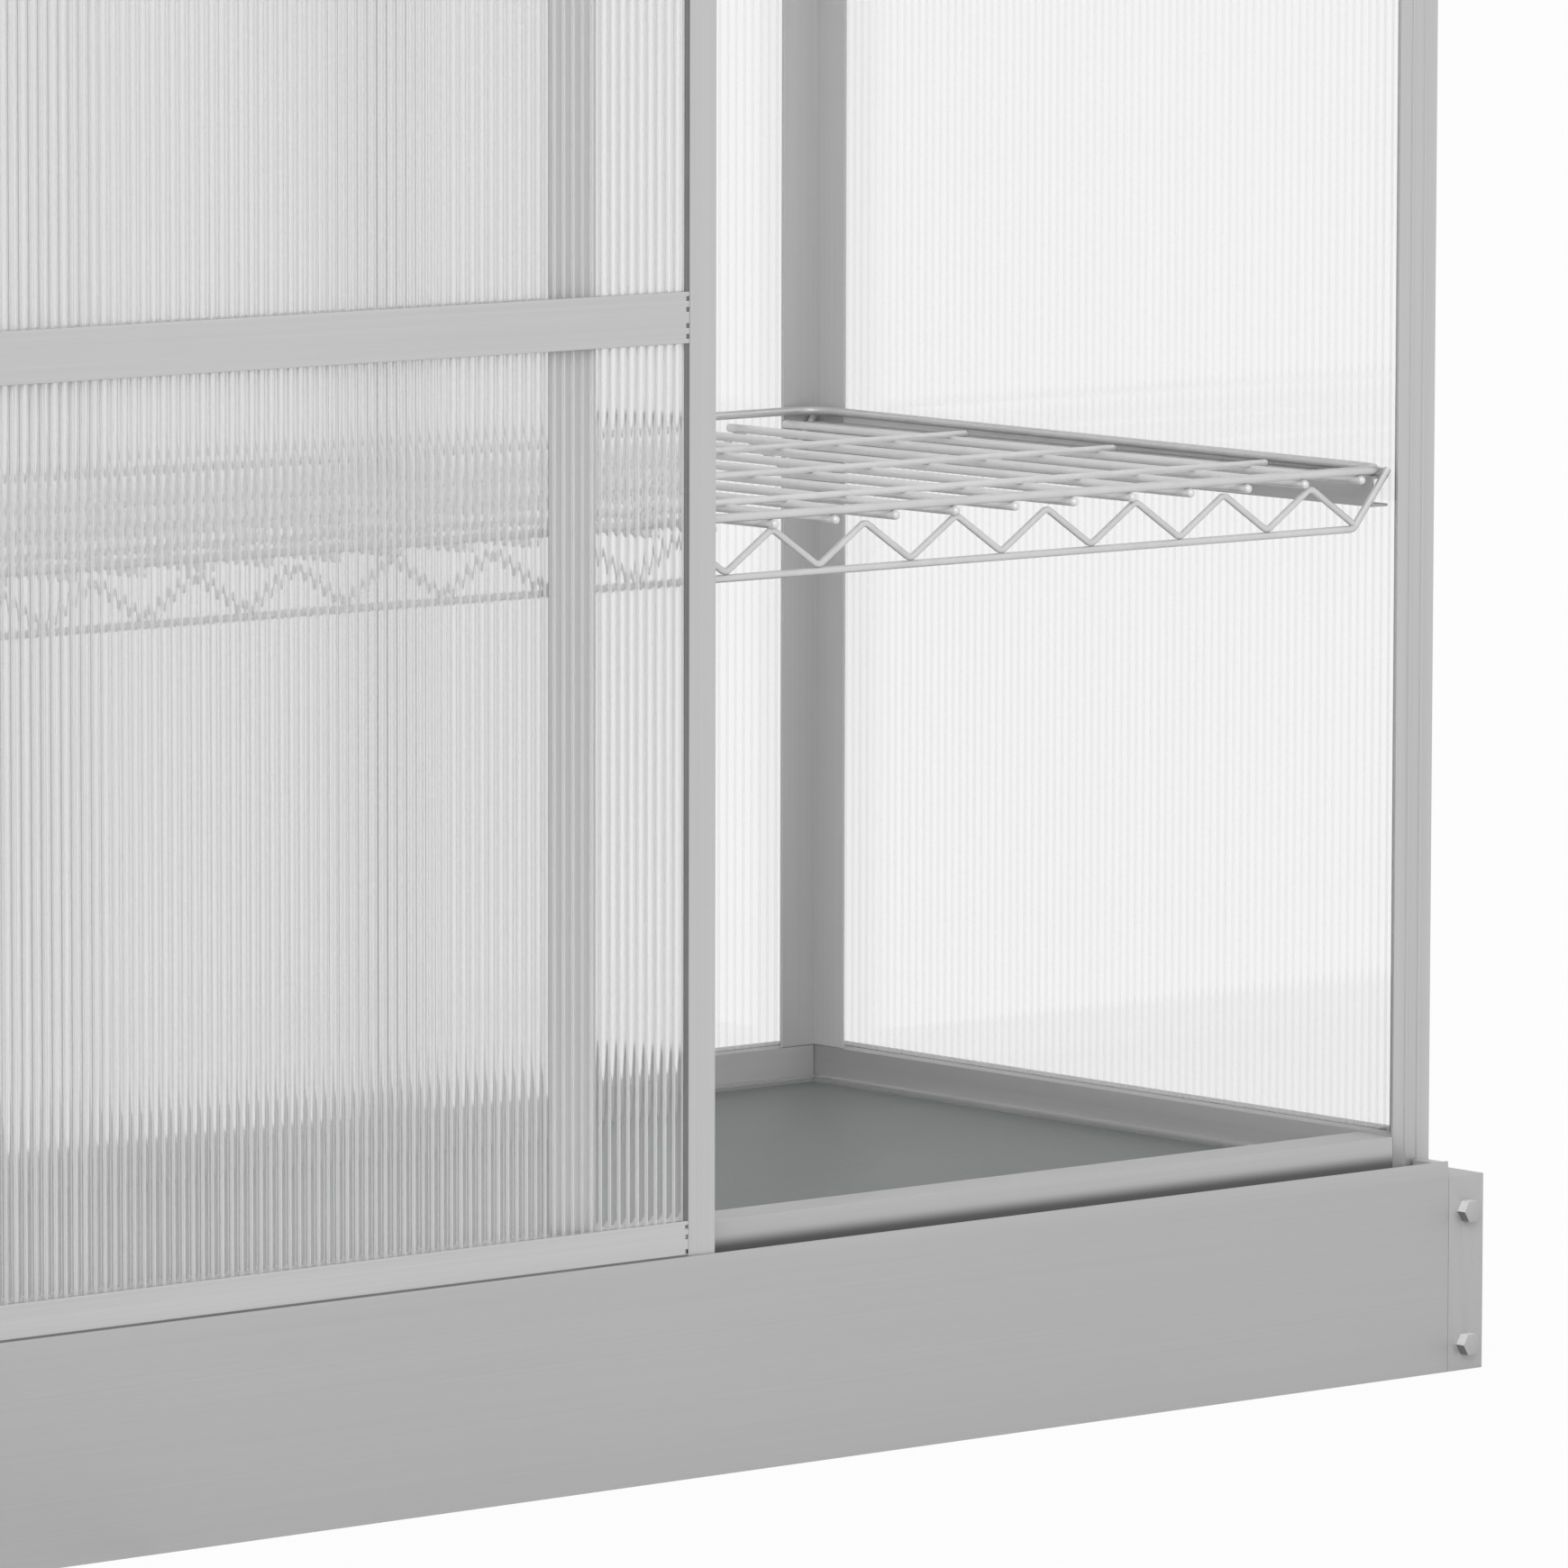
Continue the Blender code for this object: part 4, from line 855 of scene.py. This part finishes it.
def endSlots(node):
    sizes = doorSizes
    low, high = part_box(node)
    rise, half = min(high.z - low.z, sizes["slotRise"]), sizes["slotHeight"] / 2
    boxes = []
    for end in (low.x, high.x):
        for share in sizes["slotPlaces"]:
            middle = low.z + share * rise
            boxes.append(((end - sizes["slotWidth"], low.y - sizes["slotFront"], middle - half),
                          (end + sizes["slotWidth"], low.y + sizes["slotDepth"], middle + half)))
    return boxesMesh("slots", boxes)


# dark seal strips beside the stiles, which also stand in for painted shade in the gap between stile and sheet
def doorGasket(hand):
    sizes = doorSizes
    sheetLow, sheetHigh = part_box(f"door_{hand}_panel")
    sheet = middleOf(f"door_{hand}_panel")
    inset = sizes["gasketInset"]
    boxes = []
    for stile in ("outer", "meeting"):
        low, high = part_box(f"door_{hand}_stile_{stile}")
        width = sizes[stile + "Gasket"]
        left, right = (high.x, high.x + width) if low.x < sheet.x else (low.x - width, low.x)
        boxes.append(((left, sheet.y - sizes["gasketDepth"], sheetLow.z + inset),
                      (right, sheet.y - sizes["sheetHalf"], sheetHigh.z - inset)))
    boxesPiece(f"door{hand.capitalize()}Gasket", boxes, finish("gasket", "upright"), f"door_{hand}",
               "nylon", sizes["gasketEase"])


# a dark brush strip along the rail's foot, which also stands in for the painted shadow line above the
# plinth's lip
def doorBrush(hand):
    sizes = doorSizes
    low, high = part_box(f"door_{hand}_rail_bottom")
    boxes = [((low.x + sizes["brushInset"], low.y - sizes["brushDepth"], sizes["brushFrom"]),
              (high.x - sizes["brushInset"], low.y + sizes["brushBehind"], sizes["brushTo"]))]
    boxesPiece(f"door{hand.capitalize()}Brush", boxes, finish("gasket", "across"), f"door_{hand}",
               "nylon", sizes["brushEase"])


def stileScrews(hand):
    sizes = screwSizes
    low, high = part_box(f"door_{hand}_stile_outer")
    middle = middleOf(f"door_{hand}_stile_outer")
    edge = high.x if middle.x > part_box(f"door_{hand}_panel")[0].x else low.x
    form = bmesh.new()
    bmesh.ops.create_uvsphere(form, u_segments=sizes["columns"], v_segments=sizes["rings"],
                              radius=sizes["radius"])
    bmesh.ops.scale(form, vec=(1, 1, sizes["flatten"]), verts=form.verts)
    form.transform(Matrix.Rotation(math.pi / 2, 4, "Y"))
    for face in form.faces:
        face.smooth = True
    first, second = (middleOf(f"door_{hand}_crossbar_{index}").z for index in (1, 2))
    mesh = rowMesh(sizes["count"], (edge, middle.y, first), (0.0, 0.0, second - first),
                   formMesh(form, "screw"))
    mesh.materials.append(finish("boltZinc"))
    settle(f"door{hand.capitalize()}Screws", mesh, f"door_{hand}", "zinc_wire")


# Door hardware: the wheels and the bar grip

wheelSizes = {"axleTip": 0.0009, "axle": 0.00125, "ease": 0.0003, "shoulder": 0.0002, "hub": 0.0024,
              "hubFoot": 0.0030, "web": 0.0009, "rimFoot": 0.0020, "rim": 0.0014, "tread": 0.0014,
              "groove": 0.0004, "sides": 40}
gripSizes = {"gap": 0.0001, "bend": 0.009, "sides": 24, "steps": 10, "footSides": 32, "footBase": 1.6,
             "footTop": 1.35, "footDepth": 0.0016, "ease": 0.0002}


def wheelPiece(node):
    sizes = wheelSizes
    low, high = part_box(node)
    radius, half = (high.z - low.z) / 2, (high.y - low.y) / 2
    ease, web, tread = sizes["ease"], sizes["web"], sizes["tread"]
    profile = [(0, -half), (sizes["axleTip"], -half), (sizes["axle"], -half + ease),
               (sizes["axle"], -tread - sizes["shoulder"]), (sizes["hub"], -tread), (sizes["hubFoot"], -web),
               (radius - sizes["rimFoot"], -web), (radius - sizes["rim"], -tread), (radius - ease, -tread),
               (radius, -tread + ease), (radius - sizes["groove"], 0)]
    profile += [(reach, -along) for reach, along in reversed(profile[:-1])]
    mesh = turnedMesh(node, profile, (0, 1, 0), sizes["sides"], smooth=False)
    mesh.transform(Matrix.Translation(middleOf(node)))
    mesh.materials.append(finish("nylon"))
    standIn(node, "Turned", mesh)


def gripPiece():
    sizes = gripSizes
    node = "door_right_grip"
    low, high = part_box(node)
    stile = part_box("door_right_stile_outer")[0].y
    middle, radius = (low.x + high.x) / 2, (high.x - low.x) / 2
    foot, reach = stile - sizes["gap"], low.y + radius
    bottom, top = low.z + radius, high.z - radius
    path = [(middle, foot, bottom), (middle, reach, bottom), (middle, reach, top), (middle, foot, top)]
    meshes = [wireMesh(path, radius, sizes["bend"], sides=sizes["sides"], steps=sizes["steps"])]
    for level in (bottom, top):
        form = bmesh.new()
        bmesh.ops.create_cone(form, cap_ends=True, segments=sizes["footSides"],
                              radius1=radius * sizes["footBase"], radius2=radius * sizes["footTop"],
                              depth=sizes["footDepth"], matrix=Matrix.Rotation(math.pi / 2, 4, "X"))
        form.transform(Matrix.Translation((middle, stile - sizes["footDepth"] / 2, level)))
        meshes.append(easedMesh(formMesh(form, "foot"), sizes["ease"]))
    standIn(node, "Bar", merged(meshes, "grip", [finish("boltZinc")]))


for hand in ("left", "right"):
    for part in ("stile_outer", "stile_meeting"):
        easedPiece(f"door_{hand}_{part}", finish("aluminium", "upright"))
    for part in ("rail_bottom", "rail_top", "crossbar_1", "crossbar_2", "crossbar_3"):
        node = f"door_{hand}_{part}"
        easedPiece(node, finish("aluminium", "across"), cutter=endSlots(node))
    doorGasket(hand)
    doorBrush(hand)
    stileScrews(hand)
    for index in (1, 2):
        wheelPiece(f"door_{hand}_wheel_{index}")
gripPiece()
easedPiece("door_left_cup_pull", finish("nylon"), doorSizes["pullEase"])
print("doors made")


# Camera, floor, world and lamp

viewSizes = {"at": (-4.0528, -5.1729, 1.0909), "toward": (0.64710, 0.75419, -0.11142), "roll": 0.00217,
             "lens": 278.19, "sensor": 36.0, "reach": 400.0}
lightSizes = {"sky": 0.84, "floorShow": 0.93, "floorTone": 0.82, "floorHalf": 150.0, "lampPower": 300.0,
              "lampSize": 5.0, "lampAt": (-5.5, -7.0, 6.0), "lampToward": (0.0, 0.0, 0.9)}
rayLimits = {"max_bounces": 24, "transmission_bounces": 20, "transparent_max_bounces": 32}


def buildCamera():
    camera = newPiece("camera", bpy.data.cameras.new("camera"))
    camera.location = viewSizes["at"]
    aim = Vector(viewSizes["toward"]).to_track_quat("-Z", "Y").to_matrix()
    camera.rotation_euler = (aim @ Matrix.Rotation(viewSizes["roll"], 3, "Z")).to_euler()
    camera.data.lens = viewSizes["lens"]
    camera.data.sensor_width = viewSizes["sensor"]
    camera.data.clip_end = viewSizes["reach"]
    bpy.context.scene.camera = camera


def seenShare(tree):
    light = tree.nodes.new("ShaderNodeLightPath")
    seen = mathNode(tree, "MAXIMUM", light.outputs["Is Camera Ray"], light.outputs["Is Glossy Ray"])
    return mathNode(tree, "MAXIMUM", seen, light.outputs["Is Transmission Ray"])


def buildFloor():
    form = bmesh.new()
    bmesh.ops.create_grid(form, x_segments=1, y_segments=1, size=lightSizes["floorHalf"])
    floor = newPiece("floor", formMesh(form, "floor"))
    made, tree, shader = newMaterial("floorPaint")
    tone = lightSizes["floorTone"]
    shader.inputs["Base Color"].default_value = (tone, tone, tone, 1.0)
    shader.inputs["Roughness"].default_value = 1.0
    shader.inputs["Specular IOR Level"].default_value = 0.0
    glow = addNode(tree, "ShaderNodeEmission", {"Strength": 1.0})
    share = product(tree, seenShare(tree), lightSizes["floorShow"])
    mix = addNode(tree, "ShaderNodeMixShader", {0: share, 1: shader.outputs[0], 2: glow.outputs[0]})
    tree.links.new(mix.outputs[0], tree.nodes["Material Output"].inputs["Surface"])
    floor.data.materials.append(made)


def buildWorld():
    world = bpy.data.worlds.new("whiteRoom")
    bpy.context.scene.world = world
    world.use_nodes = True
    tree = world.node_tree
    tree.nodes.clear()
    sky = lightSizes["sky"]
    level = mathNode(tree, "ADD", product(tree, seenShare(tree), 1.0 - sky), sky)
    shown = addNode(tree, "ShaderNodeBackground", {"Color": (1.0, 1.0, 1.0, 1.0), "Strength": level})
    output = tree.nodes.new("ShaderNodeOutputWorld")
    tree.links.new(shown.outputs[0], output.inputs["Surface"])


def buildLamp():
    lamp = newPiece("softLamp", bpy.data.lights.new("softLamp", "AREA"))
    lamp.data.energy = lightSizes["lampPower"]
    lamp.data.size = lightSizes["lampSize"]
    lamp.location = lightSizes["lampAt"]
    toward = Vector(lightSizes["lampToward"]) - lamp.location
    lamp.rotation_euler = toward.to_track_quat("-Z", "Y").to_euler()


buildCamera()
buildFloor()
buildWorld()
buildLamp()
bpy.context.scene.view_settings.view_transform = "Standard"
for limit, value in rayLimits.items():
    setattr(bpy.context.scene.cycles, limit, value)
print("camera and light set")
